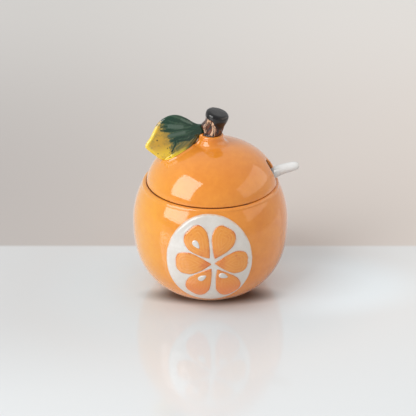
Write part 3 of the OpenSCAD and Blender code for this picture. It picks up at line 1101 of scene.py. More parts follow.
@dataclass
class PotShape:
    """Sizes of the pot's curve, from the frame where the frame has them."""

    belly_r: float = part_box("pot_body")[1].x
    rim_z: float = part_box("pot_body")[1].z
    belly_z: float = 45.4 * MM
    rim_share: float = 0.852
    foot_r: float = 26.2 * MM
    wall: float = 4 * MM
    floor_z: float = 5 * MM
    rim_round: float = 2 * MM
    lip_round: float = 1 * MM
    ring_w: float = 4.2 * MM
    hollow: float = 1.2 * MM
    foot_round: float = 0.7 * MM
    ring_round: float = 0.5 * MM
    low_power: float = 2.45
    high_power: float = 2.0
    steps: int = 40
    inner_steps: int = 56

    def __post_init__(self) -> None:
        """Works out the two half heights."""
        self.rim_r = self.belly_r * self.rim_share
        foot_share = 1 - (self.foot_r / self.belly_r) ** self.low_power
        self.low_h = self.belly_z / foot_share ** (1 / self.low_power)
        self.high_h = (self.rim_z - self.belly_z) / math.sqrt(1 - self.rim_share**2)

    def radius(self, z: np.ndarray) -> np.ndarray:
        """Measures the outside.

        Args:
            z: Heights above the table.

        Returns:
            The outside's radius at each height.
        """
        low = bulge(self.belly_r, self.low_h, self.low_power, z - self.belly_z)
        high = bulge(self.belly_r, self.high_h, self.high_power, z - self.belly_z)
        return np.where(z < self.belly_z, low, high)

    def outline(self) -> np.ndarray:
        """Draws the profile from the inside floor over the rim to the underside of the foot.

        Returns:
            Rows of radius and height.
        """
        rim_start = self.rim_z - self.rim_round
        top = math.asin(((rim_start - self.belly_z) / self.high_h) ** (self.high_power / 2))
        up = np.linspace(0, top, self.steps)
        high = quarter(self.belly_r, self.high_h, self.high_power, up) + [0, self.belly_z]
        bottom = math.asin(((self.belly_z - self.foot_round) / self.low_h) ** (self.low_power / 2))
        low = quarter(self.belly_r, self.low_h, self.low_power, np.linspace(0, bottom, self.steps))
        low = low * [1, -1] + [0, self.belly_z]
        inner_h = self.belly_z - self.floor_z
        down = np.linspace(math.pi / 2, 0, self.inner_steps)
        inside = quarter(self.belly_r - self.wall, inner_h, self.low_power, down)
        inside = inside * [1, -1] + [0, self.belly_z]
        edge_r = high[-1, 0]
        rim_out = rounding((edge_r - self.rim_round, rim_start), self.rim_round, 90, 0, 16)
        lip = (edge_r - self.wall + self.lip_round, self.rim_z - self.lip_round)
        rim_in = rounding(lip, self.lip_round, 180, 90, 6)
        foot = (low[-1, 0] - self.foot_round, self.foot_round)
        foot_edge = rounding(foot, self.foot_round, 0, -90, 5)
        ring_r = self.foot_r - self.ring_w
        ring = rounding((ring_r + self.ring_round, self.ring_round), self.ring_round, -90, -180, 4)
        under = np.array([[r, self.hollow] for r in (ring_r - self.hollow, ring_r * 0.5, 0)])
        return np.concatenate([
            inside,
            high[1:] - [self.wall, 0],
            rim_in[1:],
            rim_out,
            high[::-1][1:],
            low[1:],
            foot_edge[1:],
            ring,
            under,
        ])


def seam_share(points: np.ndarray) -> np.ndarray:
    """How dark the seam is painted at each point, as painted shade of the groove with pooled glaze:
    lighter towards the spoon, where the lid's edge catches the light.
    """
    return 1 - SEAM_LOSS * smoothstep(points[:, 0], SEAM_FROM, SEAM_TO)


@dataclass
class Pot:
    """The pot itself."""

    shape: PotShape
    sides: int = 288
    lining_share: float = 0.55
    clay_h: float = 0.35 * MM
    groove_w: float = 0.5 * MM
    groove_soft: float = 0.25 * MM
    groove_h: float = 0.9 * MM

    def build(self, material: bpy.types.Material, lid: "LidShape") -> None:
        """Builds the pot and dresses it.

        Args:
            material: Its material.
            lid: Sizes of the lid, beside which the rim is painted dark: painted shade in the seam, partly
                pooled glaze.
        """
        outline = self.shape.outline()
        obj = revolve("pot", outline, self.sides)
        points = rows_of(obj.data)
        radius = np.hypot(points[:, 0], points[:, 1])
        outer = self.shape.radius(np.clip(points[:, 2], 0, self.shape.rim_z))
        depth = outer - radius
        inside = (depth > self.shape.wall * self.lining_share) & (points[:, 2] > self.shape.hollow * 1.5)
        add_mask(obj, "lining", inside.astype(float))
        add_mask(obj, "clay", (points[:, 2] < self.clay_h).astype(float))
        wavy = points.copy()
        wave = swell(points) / np.maximum(radius, MM) * (radius > self.shape.foot_r)
        wavy[:, :2] *= 1 + wave[:, None]
        move_points(obj, wavy)
        # painted shade: the rim's edge beside the lid is painted dark for the seam's shade, with the glaze
        # pooled there
        below = self.shape.rim_z - points[:, 2]
        gap = np.hypot(points[:, 0] - lid.shift, points[:, 1]) - lid.edge_r
        groove = np.clip((self.groove_w - gap) / self.groove_soft, 0, 1) * (below < self.groove_h)
        add_mask(obj, "pool_and_shade", groove * (1 - inside) * seam_share(points))
        add_mask(obj, "worn", np.zeros(len(points)))
        finish_piece(obj, Body.POT, Slot.ORANGE, material, "pot_body")


@dataclass(frozen=True)
class Relief:
    """How one kind of raised piece stands out of the pot.

    low and high are the heights of its edge and of its middle, rim is the width of the rounding at
    its edge, crown the share of its height that rises inside the rounding, and rings their number.
    """

    low: float
    high: float
    rim: float
    crown: float
    rings: int


@dataclass
class Slice:
    """The orange slice in relief on the pot's front: pith, six pulp segments and three pips."""

    shape: PotShape
    width: float = 53.8 * MM
    height: float = 63.7 * MM
    middle_x: float = -0.8 * MM
    middle_z: float = 39.9 * MM
    pith_form: Relief = Relief(0.0, 1.4 * MM, 1.3 * MM, 0.06, 90)
    pulp_form: Relief = Relief(1.1 * MM, 2.0 * MM, 0.9 * MM, 0.35, 26)
    pip_form: Relief = Relief(1.7 * MM, 2.45 * MM, 0.8 * MM, 0.2, 10)
    pip_l: float = 6.1 * MM
    pip_w: float = 3.7 * MM
    pip_point: float = 0.38
    sink: float = 0.3 * MM
    rim_steps: int = 7
    under_rings: int = 5
    lift_fade: float = 20.0
    lip_h: float = 0.12 * MM
    lip_out: float = 0.5 * MM
    lip_w: float = 0.45 * MM
    groove_h: float = 0.15 * MM
    groove_w: float = 0.25 * MM
    bleed_w: float = 0.5 * MM
    bleed_from: float = 0.985
    edge_w: float = 1.1 * MM
    ring_w: float = 10 * MM
    belly_share: float = 0.62
    point_share: float = 1.35
    end_share: float = 2.9
    pulp_spread: float = 0.5 * MM
    pulp_shift: tuple = (0.0, -0.2 * MM)
    segments: tuple = (
        (-0.005, 0.168, 129, 0.700, 0.270),
        (0.134, 0.165, 63.5, 0.650, 0.260),
        (0.149, 0.040, -2, 0.732, 0.237),
        (0.194, -0.110, -60, 0.730, 0.272),
        (0.036, -0.087, -125, 0.775, 0.264),
        (0.030, 0.024, -178, 0.795, 0.235),
    )
    pips: tuple = ((-0.301, 0.440, -52), (-0.165, -0.301, 38), (0.326, -0.258, -24))

    def drape(self, flat: np.ndarray, out: np.ndarray) -> np.ndarray:
        """Lays flat points on the pot's front.

        Args:
            flat: Rows of x and z.
            out: How far each point stands out of the pot's surface.

        Returns:
            Rows of x, y and z.
        """
        radius = self.shape.radius(flat[:, 1]) + out
        y = -np.sqrt(np.maximum(radius**2 - flat[:, 0] ** 2, 0))
        return np.stack([flat[:, 0], y, flat[:, 1]], axis=1)

    def relief(
        self,
        name: str,
        outline: np.ndarray,
        heart: np.ndarray,
        form: Relief,
        lift: Callable[[np.ndarray], np.ndarray] | None = None,
    ) -> tuple[bpy.types.Object, np.ndarray, np.ndarray]:
        """Builds one raised piece with a rounded edge.

        Args:
            name: Name of the piece.
            outline: Its edge, as rows of x and z.
            heart: The point that its rings close in on.
            form: How it stands out of the pot.
            lift: Gives a further height for flat points, or None.

        Returns:
            The piece, its flat points and each point's share of the way from the middle to the edge.
        """
        reach = np.linalg.norm(outline - heart, axis=1)
        steps = []
        for angle in np.linspace(0, math.pi / 2, self.rim_steps):
            steps.append((1 - form.rim * (1 - math.cos(angle)) / reach, math.sin(angle)))
        for ring in range(1, form.rings):
            steps.append(((1 - form.rim / reach) * (1 - ring / form.rings), 1.0))
        flats = []
        outs = []
        for share, rise in steps:
            flats.append(heart + (outline - heart) * share[:, None])
            climb = rise * (1 - form.crown) + form.crown * (1 - share**2)
            outs.append(form.low + (form.high - form.low) * climb)
        flat = np.concatenate([*flats, [heart]])
        out = np.concatenate([*outs, [form.high]])
        share = np.concatenate([*(share for share, _ in steps), [0.0]])
        if lift is not None:
            out = out + lift(flat) * np.clip((1 - share) * self.lift_fade, 0, 1)
        top = self.drape(flat, out)
        count = len(outline)
        middle = len(steps) * count
        faces = [face[::-1] for face in grid_faces(len(steps), count)]
        faces += fan(middle, middle - count, count, back=True)
        under_flats = []
        for ring in range(self.under_rings):
            under_flats.append(heart + (outline - heart) * (1 - ring / self.under_rings))
        under_flats.append(heart[None, :])
        under_flat = np.concatenate(under_flats)
        under = self.drape(under_flat, np.full(len(under_flat), form.low - self.sink))
        offset = len(top)
        faces += grid_faces(self.under_rings, count, offset)
        under_middle = offset + self.under_rings * count
        faces += fan(under_middle, under_middle - count, count)
        faces += strip(0, offset, count)
        obj = make_object(name, np.concatenate([top, under]), faces)
        share = np.concatenate([share, np.ones(len(under_flat))])
        return obj, np.concatenate([flat, under_flat]), share

    def drop(self, segment: Sequence[float], count: int) -> np.ndarray:
        """Draws the edge of one pulp segment.

        Args:
            segment: Where its tip lies, its direction from there in degrees, its length and its half
                width, with all lengths as shares of the slice's half sizes.
            count: Number of points.

        Returns:
            Rows of x and z.
        """
        tip_u, tip_v, direction, length, half = segment
        turn = np.linspace(0, 2 * math.pi, count, endpoint=False)
        t = (1 - np.cos(turn)) / 2
        side = np.where(turn < math.pi, 1.0, -1.0)
        before = 1 - np.abs(1 - np.minimum(t, self.belly_share) / self.belly_share) ** self.point_share
        late = np.clip((t - self.belly_share) / (1 - self.belly_share), 0, 1)
        after = (1 - late**self.end_share) ** (1 / self.end_share)
        width = half * np.where(t < self.belly_share, before, after) * side
        angle = math.radians(direction)
        u = tip_u + length * t * math.cos(angle) - width * math.sin(angle)
        v = tip_v + length * t * math.sin(angle) + width * math.cos(angle)
        x = self.middle_x + u * self.width / 2 + self.pulp_shift[0]
        z = self.middle_z + v * self.height / 2 + self.pulp_shift[1]
        edge = np.stack([x, z], axis=1)
        along = np.roll(edge, -1, axis=0) - np.roll(edge, 1, axis=0)
        out = np.column_stack([along[:, 1], -along[:, 0]]) / np.linalg.norm(along, axis=1)[:, None]
        end = count // 2
        return edge + out * self.pulp_spread * np.sign(np.sum(out[end] * (edge[end] - edge[0])))

    def oval(
        self,
        width: float,
        height: float,
        turn: float,
        middle: Sequence[float],
        count: int,
        point: float = 0.0,
    ) -> np.ndarray:
        """Edge of an oval that may narrow towards one end.

        Args:
            width: Its length along its own axis.
            height: Its size across that.
            turn: Turn of its axis from X, in degrees.
            middle: Its middle, as x and z.
            count: Number of points.
            point: How much narrower it gets towards the end that it points to.

        Returns:
            Rows of x and z.
        """
        angles = np.linspace(0, 2 * math.pi, count, endpoint=False)
        x = width / 2 * np.cos(angles)
        z = height / 2 * np.sin(angles) * (1 - point * np.cos(angles))
        tilt = math.radians(turn)
        return np.stack([
            middle[0] + x * math.cos(tilt) - z * math.sin(tilt),
            middle[1] + x * math.sin(tilt) + z * math.cos(tilt),
        ], axis=1)

    def build(self, pith: bpy.types.Material, pulp: bpy.types.Material) -> None:
        """Builds and dresses every piece of the slice.

        Args:
            pith: Material of the pith and of the pips.
            pulp: Material of the segments.
        """
        middle = np.array([self.middle_x, self.middle_z])
        drops = [self.drop(segment, 96) for segment in self.segments]
        edges = np.concatenate(drops)

        def rims(flat: np.ndarray) -> np.ndarray:
            """Raises lips round the segments and cuts a fine groove at each edge.

            Args:
                flat: Rows of x and z.

            Returns:
                The further height of each point.
            """
            away = gap_to(flat, edges)
            lip = self.lip_h * np.exp(-((away - self.lip_out) / self.lip_w) ** 2)
            groove = self.groove_h * np.exp(-((away / self.groove_w) ** 2))
            return lip - groove

        outline = self.oval(self.width, self.height, 0, middle, 288)
        obj, flat, share = self.relief("slice_pith_piece", outline, middle, self.pith_form, rims)
        near = np.exp(-((gap_to(flat, edges) / self.bleed_w) ** 2)) + (share > self.bleed_from)
        add_mask(obj, "bleed", np.clip(near, 0, 1))
        finish_piece(obj, Body.POT, Slot.PITH, pith, "slice_pith")
        for number, edge in enumerate(drops, start=1):
            self.build_segment(number, edge, pulp)
        for number, (u, v, turn) in enumerate(self.pips, start=1):
            place = middle + np.array([u * self.width / 2, v * self.height / 2])
            edge = self.oval(self.pip_l, self.pip_w, turn, place, 40, self.pip_point)
            obj, flat, _ = self.relief(f"slice_pip_{number}_piece", edge, place, self.pip_form)
            add_mask(obj, "bleed", np.zeros(len(flat)))
            finish_piece(obj, Body.POT, Slot.PITH, pith, f"slice_pip_{number}")

    def build_segment(self, number: int, edge: np.ndarray, pulp: bpy.types.Material) -> None:
        """Builds one pulp segment with its fibres.

        Args:
            number: Its number.
            edge: Its edge, as rows of x and z.
            pulp: Its material.
        """
        axis = edge[len(edge) // 2] - edge[0]
        heart = edge[0] + axis * self.belly_share
        obj, flat, _ = self.relief(f"slice_segment_{number}_piece", edge, heart, self.pulp_form)
        away = gap_to(flat, edge)
        angle = math.atan2(axis[1], axis[0])
        from_tip = flat - edge[0]
        along = from_tip[:, 0] * math.cos(angle) + from_tip[:, 1] * math.sin(angle)
        across = -from_tip[:, 0] * math.sin(angle) + from_tip[:, 1] * math.cos(angle)
        add_plane(obj, "fibres", across, along)
        add_mask(obj, "edge", np.clip(1 - away / self.edge_w, 0, 1))
        add_mask(obj, "inward", away / self.ring_w)
        finish_piece(obj, Body.POT, Slot.PULP, pulp, f"slice_segment_{number}")


@dataclass
class LidShape:
    """Sizes of the lid."""

    pot: PotShape
    shift: float = 0.8 * MM
    inset: float = 1 * MM
    rise: float = 26.8 * MM
    drop_share: float = 0.15
    wall: float = 4 * MM
    edge_round: float = 0.9 * MM
    flange_depth: float = 4.5 * MM
    flange_t: float = 3.2 * MM
    flange_gap: float = 2.2 * MM
    neck_r: float = 7.5 * MM
    neck_foot_r: float = 12 * MM
    neck_h: float = 5.5 * MM
    ring_round: float = 0.7 * MM
    power: float = 2.13
    notch_w: float = 10 * MM
    notch_h: float = 13.8 * MM
    notch_y: float = -0.6 * MM

    def __post_init__(self) -> None:
        """Works out the dome's full curve."""
        self.rim_z = self.pot.rim_z
        self.edge_r = self.pot.rim_r - self.inset
        self.drop = self.drop_share * self.rise
        self.full_h = self.rise + self.drop
        self.full_r = self.edge_r / float(bulge(1, self.full_h, self.power, self.drop))
        self.full_z = self.rim_z - self.drop
        self.neck_z = self.rim_z + self.rise + self.neck_h
        self.flange_out = self.pot.rim_r - self.pot.wall - self.flange_gap
        self.flange_in = self.flange_out - self.flange_t

    def radius(self, z: np.ndarray) -> np.ndarray:
        """Radius of the dome's outside at each height."""
        return bulge(self.full_r, self.full_h, self.power, z - self.full_z)

    def depth(self, points: np.ndarray) -> np.ndarray:
        """Measures how deep points lie below the lid's outside.

        Args:
            points: Rows of x, y and z.

        Returns:
            The depth of each point, below zero outside the lid.
        """
        outline = self.outside()[:-1]
        slope = np.gradient(outline[:, 0], outline[:, 1] + np.arange(len(outline)) * 1e-9)
        radius = np.interp(points[:, 2], outline[:, 1], outline[:, 0], right=0)
        steep = np.interp(points[:, 2], outline[:, 1], slope)
        away = np.hypot(points[:, 0] - self.shift, points[:, 1])
        return (radius - away) / np.sqrt(1 + steep**2)

    def outside(self, fine: int = 1) -> np.ndarray:
        """Draws the profile of the outside, from the edge over the dome and the neck to the axis.

        Args:
            fine: How many times more points it gets.

        Returns:
            Rows of radius and height.
        """
        start = math.asin(((self.edge_round + self.drop) / self.full_h) ** (self.power / 2))
        end = math.acos((self.neck_foot_r / self.full_r) ** (self.power / 2))
        angles = np.linspace(start, end, 60 * fine)
        dome = quarter(self.full_r, self.full_h, self.power, angles) + [0, self.full_z]
        neck_round = self.neck_h / 5
        rise = self.neck_z - neck_round - dome[-1, 1]
        t = np.linspace(0, math.pi / 2, 14 * fine + 1)[1:]
        flank = np.stack([
            self.neck_foot_r - (self.neck_foot_r - self.neck_r) * np.sin(t),
            dome[-1, 1] + rise * (1 - np.cos(t)),
        ], axis=1)
        shoulder = (self.neck_r - neck_round, self.neck_z - neck_round)
        top = rounding(shoulder, neck_round, 0, 90, 6 * fine)[1:]
        corner = (dome[0, 0] - self.edge_round, self.rim_z + self.edge_round)
        edge = rounding(corner, self.edge_round, -90, 0, 6 * fine)
        return np.concatenate([edge, dome[1:], flank, top, [[0, self.neck_z]]])

    def inside(self, fine: int = 1) -> np.ndarray:
        """Draws the profile of the locating ring and of the hollow up to the axis.

        Args:
            fine: How many times more points it gets.

        Returns:
            Rows of radius and height.
        """
        in_h = self.full_h - self.wall
        in_r = (self.edge_r - self.wall) / float(bulge(1, in_h, self.power, self.drop))
        shelf = math.asin(((self.wall + self.drop) / in_h) ** (self.power / 2))
        angles = np.linspace(shelf, math.pi / 2, 50 * fine)
        hollow = quarter(in_r, in_h, self.power, angles) + [0, self.full_z]
        soft = self.ring_round
        low = self.rim_z - self.flange_depth + soft
        return np.concatenate([
            [[self.flange_out, self.rim_z]],
            rounding((self.flange_out - soft, low), soft, 0, -90, 4 * fine),
            rounding((self.flange_in + soft, low), soft, -90, -180, 4 * fine),
            [[self.flange_in, self.rim_z]],
            hollow,
        ])


@dataclass
class Lid:
    """The domed lid with its neck and the notch for the spoon."""

    shape: LidShape
    sides: int = 288
    voxel: float = 0.45 * MM
    rounds: int = 5
    step: float = 0.05 * MM
    notch_low: float = 1 * MM
    notch_out: float = 3 * MM
    lip: float = 1.5 * MM
    lip_w: float = 2.2 * MM
    fillet_w: float = 2.4 * MM
    fillet_rise: float = 0.75 * MM
    fillet_power: float = 0.75
    fillet_facing: float = 0.05
    fillet_depth: float = 2 * MM
    crease_shade: float = 0.9 * MM
    crease_gap: float = 0.5 * MM
    crease_least: float = 0.35
    crease_from: float = -30 * MM
    crease_to: float = -18 * MM
    cut_gap: float = 0.5 * MM
    free_gap: float = 1.7 * MM
    cut_share: float = 0.45
    seam_h: float = 0.38 * MM
    seam_soft: float = 0.25 * MM
    worn_gap: float = 0.4 * MM
    worn_w: float = 0.7 * MM
    worn_depth: float = 1.6 * MM
    worn_reach: float = 3 * MM
    worn: float = 1.6

    def notch(self) -> bpy.types.Object:
        """Makes a solid in the shape of the notch, from inside the locating ring outwards.

        Returns:
            The solid.
        """
        shape = self.shape
        half = shape.notch_w / 2
        arch_z = shape.rim_z + shape.notch_h - half
        foot = shape.rim_z - shape.flange_depth - self.notch_low
        angles = np.linspace(0, math.pi, 33)
        loop = [(half * math.cos(a), arch_z + half * math.sin(a)) for a in angles]
        loop += [(-half, foot), (half, foot)]
        near = shape.flange_in - half
        far = shape.edge_r + self.notch_out
        points = [(x, y + shape.notch_y, z) for x in (near, far) for y, z in loop]
        count = len(loop)
        faces = [tuple(range(count))[::-1], tuple(range(count, 2 * count))]
        faces += strip(0, count, count)
        return make_object("notch_cutter", np.array(points), faces)

    def notch_gap(self, points: np.ndarray) -> np.ndarray:
        """Measures how far points are from the notch's arch, across the lid's wall.

        Args:
            points: Rows of x, y and z.

        Returns:
            The distance of each point, below zero inside the notch.
        """
        shape = self.shape
        half = shape.notch_w / 2
        over = np.maximum(points[:, 2] - (shape.rim_z + shape.notch_h - half), 0)
        away = np.hypot(points[:, 1] - shape.notch_y, over) - half
        return np.where(points[:, 0] > shape.flange_in - half, away, shape.edge_r)

    def skin(self) -> bpy.types.Object:
        """Makes the lid with its notch, as one skin of small faces with softened edges.

        Returns:
            The lid.
        """
        shape = self.shape
        outline = np.concatenate([shape.outside()[::-1], shape.inside()])
        obj = revolve("lid", outline, self.sides, shape.shift)
        cutter = self.notch()
        cut = obj.modifiers.new("notch", "BOOLEAN")
        cut.object = cutter
        cut.operation = "DIFFERENCE"
        cut.solver = "EXACT"
        cast(obj, self.voxel, self.rounds)
        bpy.data.objects.remove(cutter)
        return obj

    def build(self, material: bpy.types.Material, leaf: np.ndarray) -> None:
        """Builds the lid and dresses it.

        Args:
            material: Its material.
            leaf: Points of the leaf, which is bedded in a fillet of clay.
        """
        shape = self.shape
        obj = self.skin()
        points = rows_of(obj.data)
        # every point away from the notch goes back to the exact profile, with a slow wave
        outside = resample(shape.outside(20)[::-1], self.step)
        profile = np.concatenate([outside, resample(shape.inside(20), self.step)])
        tree = near_tree(np.column_stack([profile, np.zeros(len(profile))]))
        away = points[:, :2] - [shape.shift, 0]
        radius = np.hypot(away[:, 0], away[:, 1])
        found = [tree.find((r, z, 0))[1] for r, z in zip(radius, points[:, 2])]
        nearest = profile[found]
        gap = self.notch_gap(points)
        free = smoothstep(gap, self.cut_gap, self.free_gap)
        points[:, 2] += (nearest[:, 1] - points[:, 2]) * free
        wave = swell(points) * (radius > shape.neck_foot_r)
        settled = radius + (nearest[:, 0] - radius) * free + wave
        points[:, :2] = away * (settled / np.maximum(radius, 1e-9))[:, None] + [shape.shift, 0]
        move_points(obj, points)
        # the wall's outside rounds off towards the notch
        depth = shape.radius(points[:, 2]) - settled
        inset = self.lip * (1 - np.sqrt(1 - (1 - np.clip(gap / self.lip_w, 0, 1)) ** 2))
        low = points[:, 2] < shape.rim_z + shape.notch_h * 2
        inset *= np.clip(1 - depth / shape.wall, 0, 1) * low
        share = inset / np.maximum(settled, MM)
        points[:, :2] -= (points[:, :2] - [shape.shift, 0]) * share[:, None]
        move_points(obj, points)
        # a bead of clay rises round the leaf
        rise, crease_shade = self.fillet(obj, points, leaf)
        move_points(obj, points + rise)
        outer = np.array(found) < len(outside)
        cut_face = (gap < self.cut_gap) & (depth < shape.wall * self.cut_share)
        add_mask(obj, "lining", np.where(outer | cut_face, 0.0, 1.0))
        add_mask(obj, "clay", np.zeros(len(points)))
        # painted shade: the lid's lower edge in the seam and the crease round the leaf are painted dark,
        # with pooled glaze
        above = points[:, 2] - shape.rim_z
        pool_and_shade = np.clip((self.seam_h - above) / self.seam_soft, 0, 1) * seam_share(points)
        add_mask(obj, "pool_and_shade", np.maximum(pool_and_shade * outer * (above > -0.1 * MM), crease_shade))
        worn = self.worn * np.exp(-((gap - self.worn_gap) / self.worn_w) ** 2)
        worn *= (depth < self.worn_depth) & (gap < self.worn_reach) & (points[:, 1] < shape.notch_y)
        add_mask(obj, "worn", worn)
        finish_piece(obj, Body.LID, Slot.ORANGE, material, "lid_dome")

    def fillet(
        self,
        obj: bpy.types.Object,
        points: np.ndarray,
        leaf: np.ndarray,
    ) -> tuple[np.ndarray, np.ndarray]:
        """Works out the bead of clay that beds the leaf.

        Args:
            obj: The lid's object, for the directions of its skin.
            points: The lid's points.
            leaf: Points along the leaf's edge.

        Returns:
            How far each point moves, as rows of x, y and z, and how dark the crease is painted there, as
            painted shade with pooled glaze.
        """
        normals = rows_of(obj.data, "normal")
        ahead = np.array(Leaf.forwards)
        tree = near_tree(leaf)
        gap = np.full(len(points), np.inf)
        low = leaf.min(axis=0) - self.fillet_w
        high = leaf.max(axis=0) + self.fillet_w
        near = np.all((points > low) & (points < high), axis=1)
        near &= normals @ ahead > self.fillet_facing
        near &= self.shape.depth(points) < self.fillet_depth
        for index in np.nonzero(near)[0]:
            gap[index] = tree.find(points[index])[2]
        up = np.array([0.0, -ahead[2] / ahead[1], 1.0])
        seen = np.column_stack([points[:, 0], points @ up])
        outside = ~covered(seen, np.column_stack([leaf[:, 0], leaf @ up]))
        share = np.clip(gap / self.fillet_w, 0, 1)
        bead = np.sin(math.pi * share**self.fillet_power) * outside
        # painted shade: the crease at the leaf's edge is painted dark, less so towards the leaf's tip on
        # the left
        away = np.maximum(gap - self.crease_gap, 0)
        crease_shade = np.exp(-((away / self.crease_shade) ** 2)) * outside * near
        light = smoothstep(points[:, 0], self.crease_from, self.crease_to)
        crease_shade *= self.crease_least + (1 - self.crease_least) * light
        return normals * (self.fillet_rise * bead)[:, None], crease_shade


def cast(obj: bpy.types.Object, voxel: float, rounds: int) -> None:
    """Turns a piece, with the modifiers that it has, into one skin of small faces with soft edges.

    Args:
        obj: The piece.
        voxel: Size of the faces.
        rounds: How many times the edges are softened.
    """
    remesh = obj.modifiers.new("one skin", "REMESH")
    remesh.mode = "VOXEL"
    remesh.voxel_size = voxel
    remesh.use_smooth_shade = True
    soften = obj.modifiers.new("soft edges", "SMOOTH")
    soften.factor = 0.5
    soften.iterations = rounds
    bpy.context.view_layer.update()
    graph = bpy.context.evaluated_depsgraph_get()
    mesh = bpy.data.meshes.new_from_object(obj.evaluated_get(graph))
    obj.modifiers.clear()
    obj.data = mesh
    obj.data.shade_smooth()


@dataclass
class Stem:
    """The flared stem with grooved bark and a glossy cap."""

    lid: LidShape
    length: float = 15.4 * MM
    foot_r: float = 6.5 * MM
    waist_r: float = 6.6 * MM
    top_r: float = 7.45 * MM
    waist_share: float = 0.4
    edge_round: float = 2.2 * MM
    lean: float = 15.0
    cut: float = 5.0
    groove: float = 0.9 * MM
    cap_low: float = 10.8 * MM
    run_angle: float = math.radians(32)
    run_width: float = math.radians(40)
    run_depth: float = 4.6 * MM
    knob_angle: float = math.radians(-82)
    knob_h: float = 4.4 * MM
    knob_size: float = 2.4 * MM
    knob_out: float = 2.6 * MM
    knob_width: float = 0.42
    cap_soft: float = 1.4 * MM
    root: float = 2 * MM
    bark_turns: float = 2.1
    bark_h: float = 10 * MM
    bark_fine: float = 2.6
    bark_fine_share: float = 0.45
    bark_gain: float = 1.1
    lit_side_angle: float = math.radians(-22)
    lit_side_width: float = math.radians(42)
    tilt_from: float = 0.6
    sides: int = 200

    def radius(self, h: float) -> float:
        """Measures the stem without its bark.

        Args:
            h: Height along the stem.

        Returns:
            The radius there.
        """
        waist = self.length * self.waist_share
        if h < waist:
            return self.waist_r + (self.foot_r - self.waist_r) * (1 - max(h, 0) / waist) ** 2
        flare = (h - waist) / (self.length - self.edge_round - waist)
        return self.waist_r + (self.top_r - self.waist_r) * math.sin(math.pi / 2 * min(flare, 1)) ** 2

    def outline(self) -> np.ndarray:
        """Draws the profile from the top over the flank to the root.

        Returns:
            Rows of radius and height along the stem.
        """
        shoulder = self.length - self.edge_round
        heights = np.linspace(-self.root, shoulder, 70)
        profile = [[0.0, heights[0]]]
        profile += [[self.radius(h), h] for h in heights]
        corner_r = self.top_r - self.edge_round
        profile += rounding((corner_r, shoulder), self.edge_round, 0, 90, 14)[1:].tolist()
        profile += [[corner_r * share, self.length] for share in (0.75, 0.5, 0.25, 0)]
        return np.array(profile)[::-1]

    def ridges(self, angle: np.ndarray, height: np.ndarray) -> np.ndarray:
        """Grows the bark's ridges.

        Args:
            angle: Angle of each point round the stem.
            height: Its height along the stem.

        Returns:
            How high the bark rises at each point, from 0 to 1.
        """
        bark = np.zeros(len(angle))
        for index, (a, h) in enumerate(zip(angle, height)):
            where = Vector((self.bark_turns * math.cos(a), self.bark_turns * math.sin(a), h / self.bark_h))
            fine = self.bark_fine_share * noise.noise(where * self.bark_fine)
            bark[index] = noise.noise(where) + fine
        return np.clip(0.5 + self.bark_gain * bark, 0, 1)

    def build(self, material: bpy.types.Material) -> None:
        """Builds the stem and dresses it.

        Args:
            material: Its material.
        """
        obj = revolve("stem_piece", self.outline(), self.sides)
        points = rows_of(obj.data)
        angle = np.arctan2(points[:, 0], -points[:, 1])
        height = points[:, 2].copy()
        radius = np.hypot(points[:, 0], points[:, 1])
        # the cap runs down on one side
        run = wrapped(angle, self.run_angle) / self.run_width
        border = self.cap_low - self.run_depth * np.exp(-(run**4))
        cap = np.clip((height - border) / self.cap_soft + 0.5, 0, 1)
        # the bark's grooves go in and its knob comes out
        ridge = self.ridges(angle, height)
        side = np.clip(radius / self.waist_r, 0, 1)
        push = -(1 - ridge) * self.groove * (1 - cap) * side
        knob = wrapped(angle, self.knob_angle)
        near = (knob / self.knob_width) ** 2 + ((height - self.knob_h) / self.knob_size) ** 2
        push = push + self.knob_out * np.exp(-near) * side
        factor = np.where(radius > 1e-9, (radius + push) / np.maximum(radius, 1e-9), 1)
        points[:, :2] *= factor[:, None]
        # the top is cut at a slant, and the whole stem leans
        tilt = math.tan(math.radians(self.cut))
        start = (self.length - self.edge_round) * self.tilt_from
        top = np.clip((height - start) / (self.length - start), 0, 1)
        points[:, 2] += (points[:, 1] * tilt - self.top_r * tilt * 0.2) * top
        points[:, 2] = np.minimum(points[:, 2], self.length)
        lean = Matrix.Rotation(math.radians(self.lean), 4, "Y")
        matrix = Matrix.Translation((self.lid.shift, 0, self.lid.neck_z)) @ lean
        moved = np.array([matrix @ Vector(p) for p in points])
        move_points(obj, moved)
        add_mask(obj, "cap", cap)
        # painted light: tan only on the lit front-left side of the stem
        lit = np.clip(1.25 - np.abs(wrapped(angle, self.lit_side_angle)) / self.lit_side_width, 0, 1)
        add_mask(obj, "tan", np.clip(lit * (0.2 + 1.1 * ridge), 0, 1))
        add_plane(obj, "grain", angle * self.waist_r, height)
        finish_piece(obj, Body.LID, Slot.BARK, material, "stem")


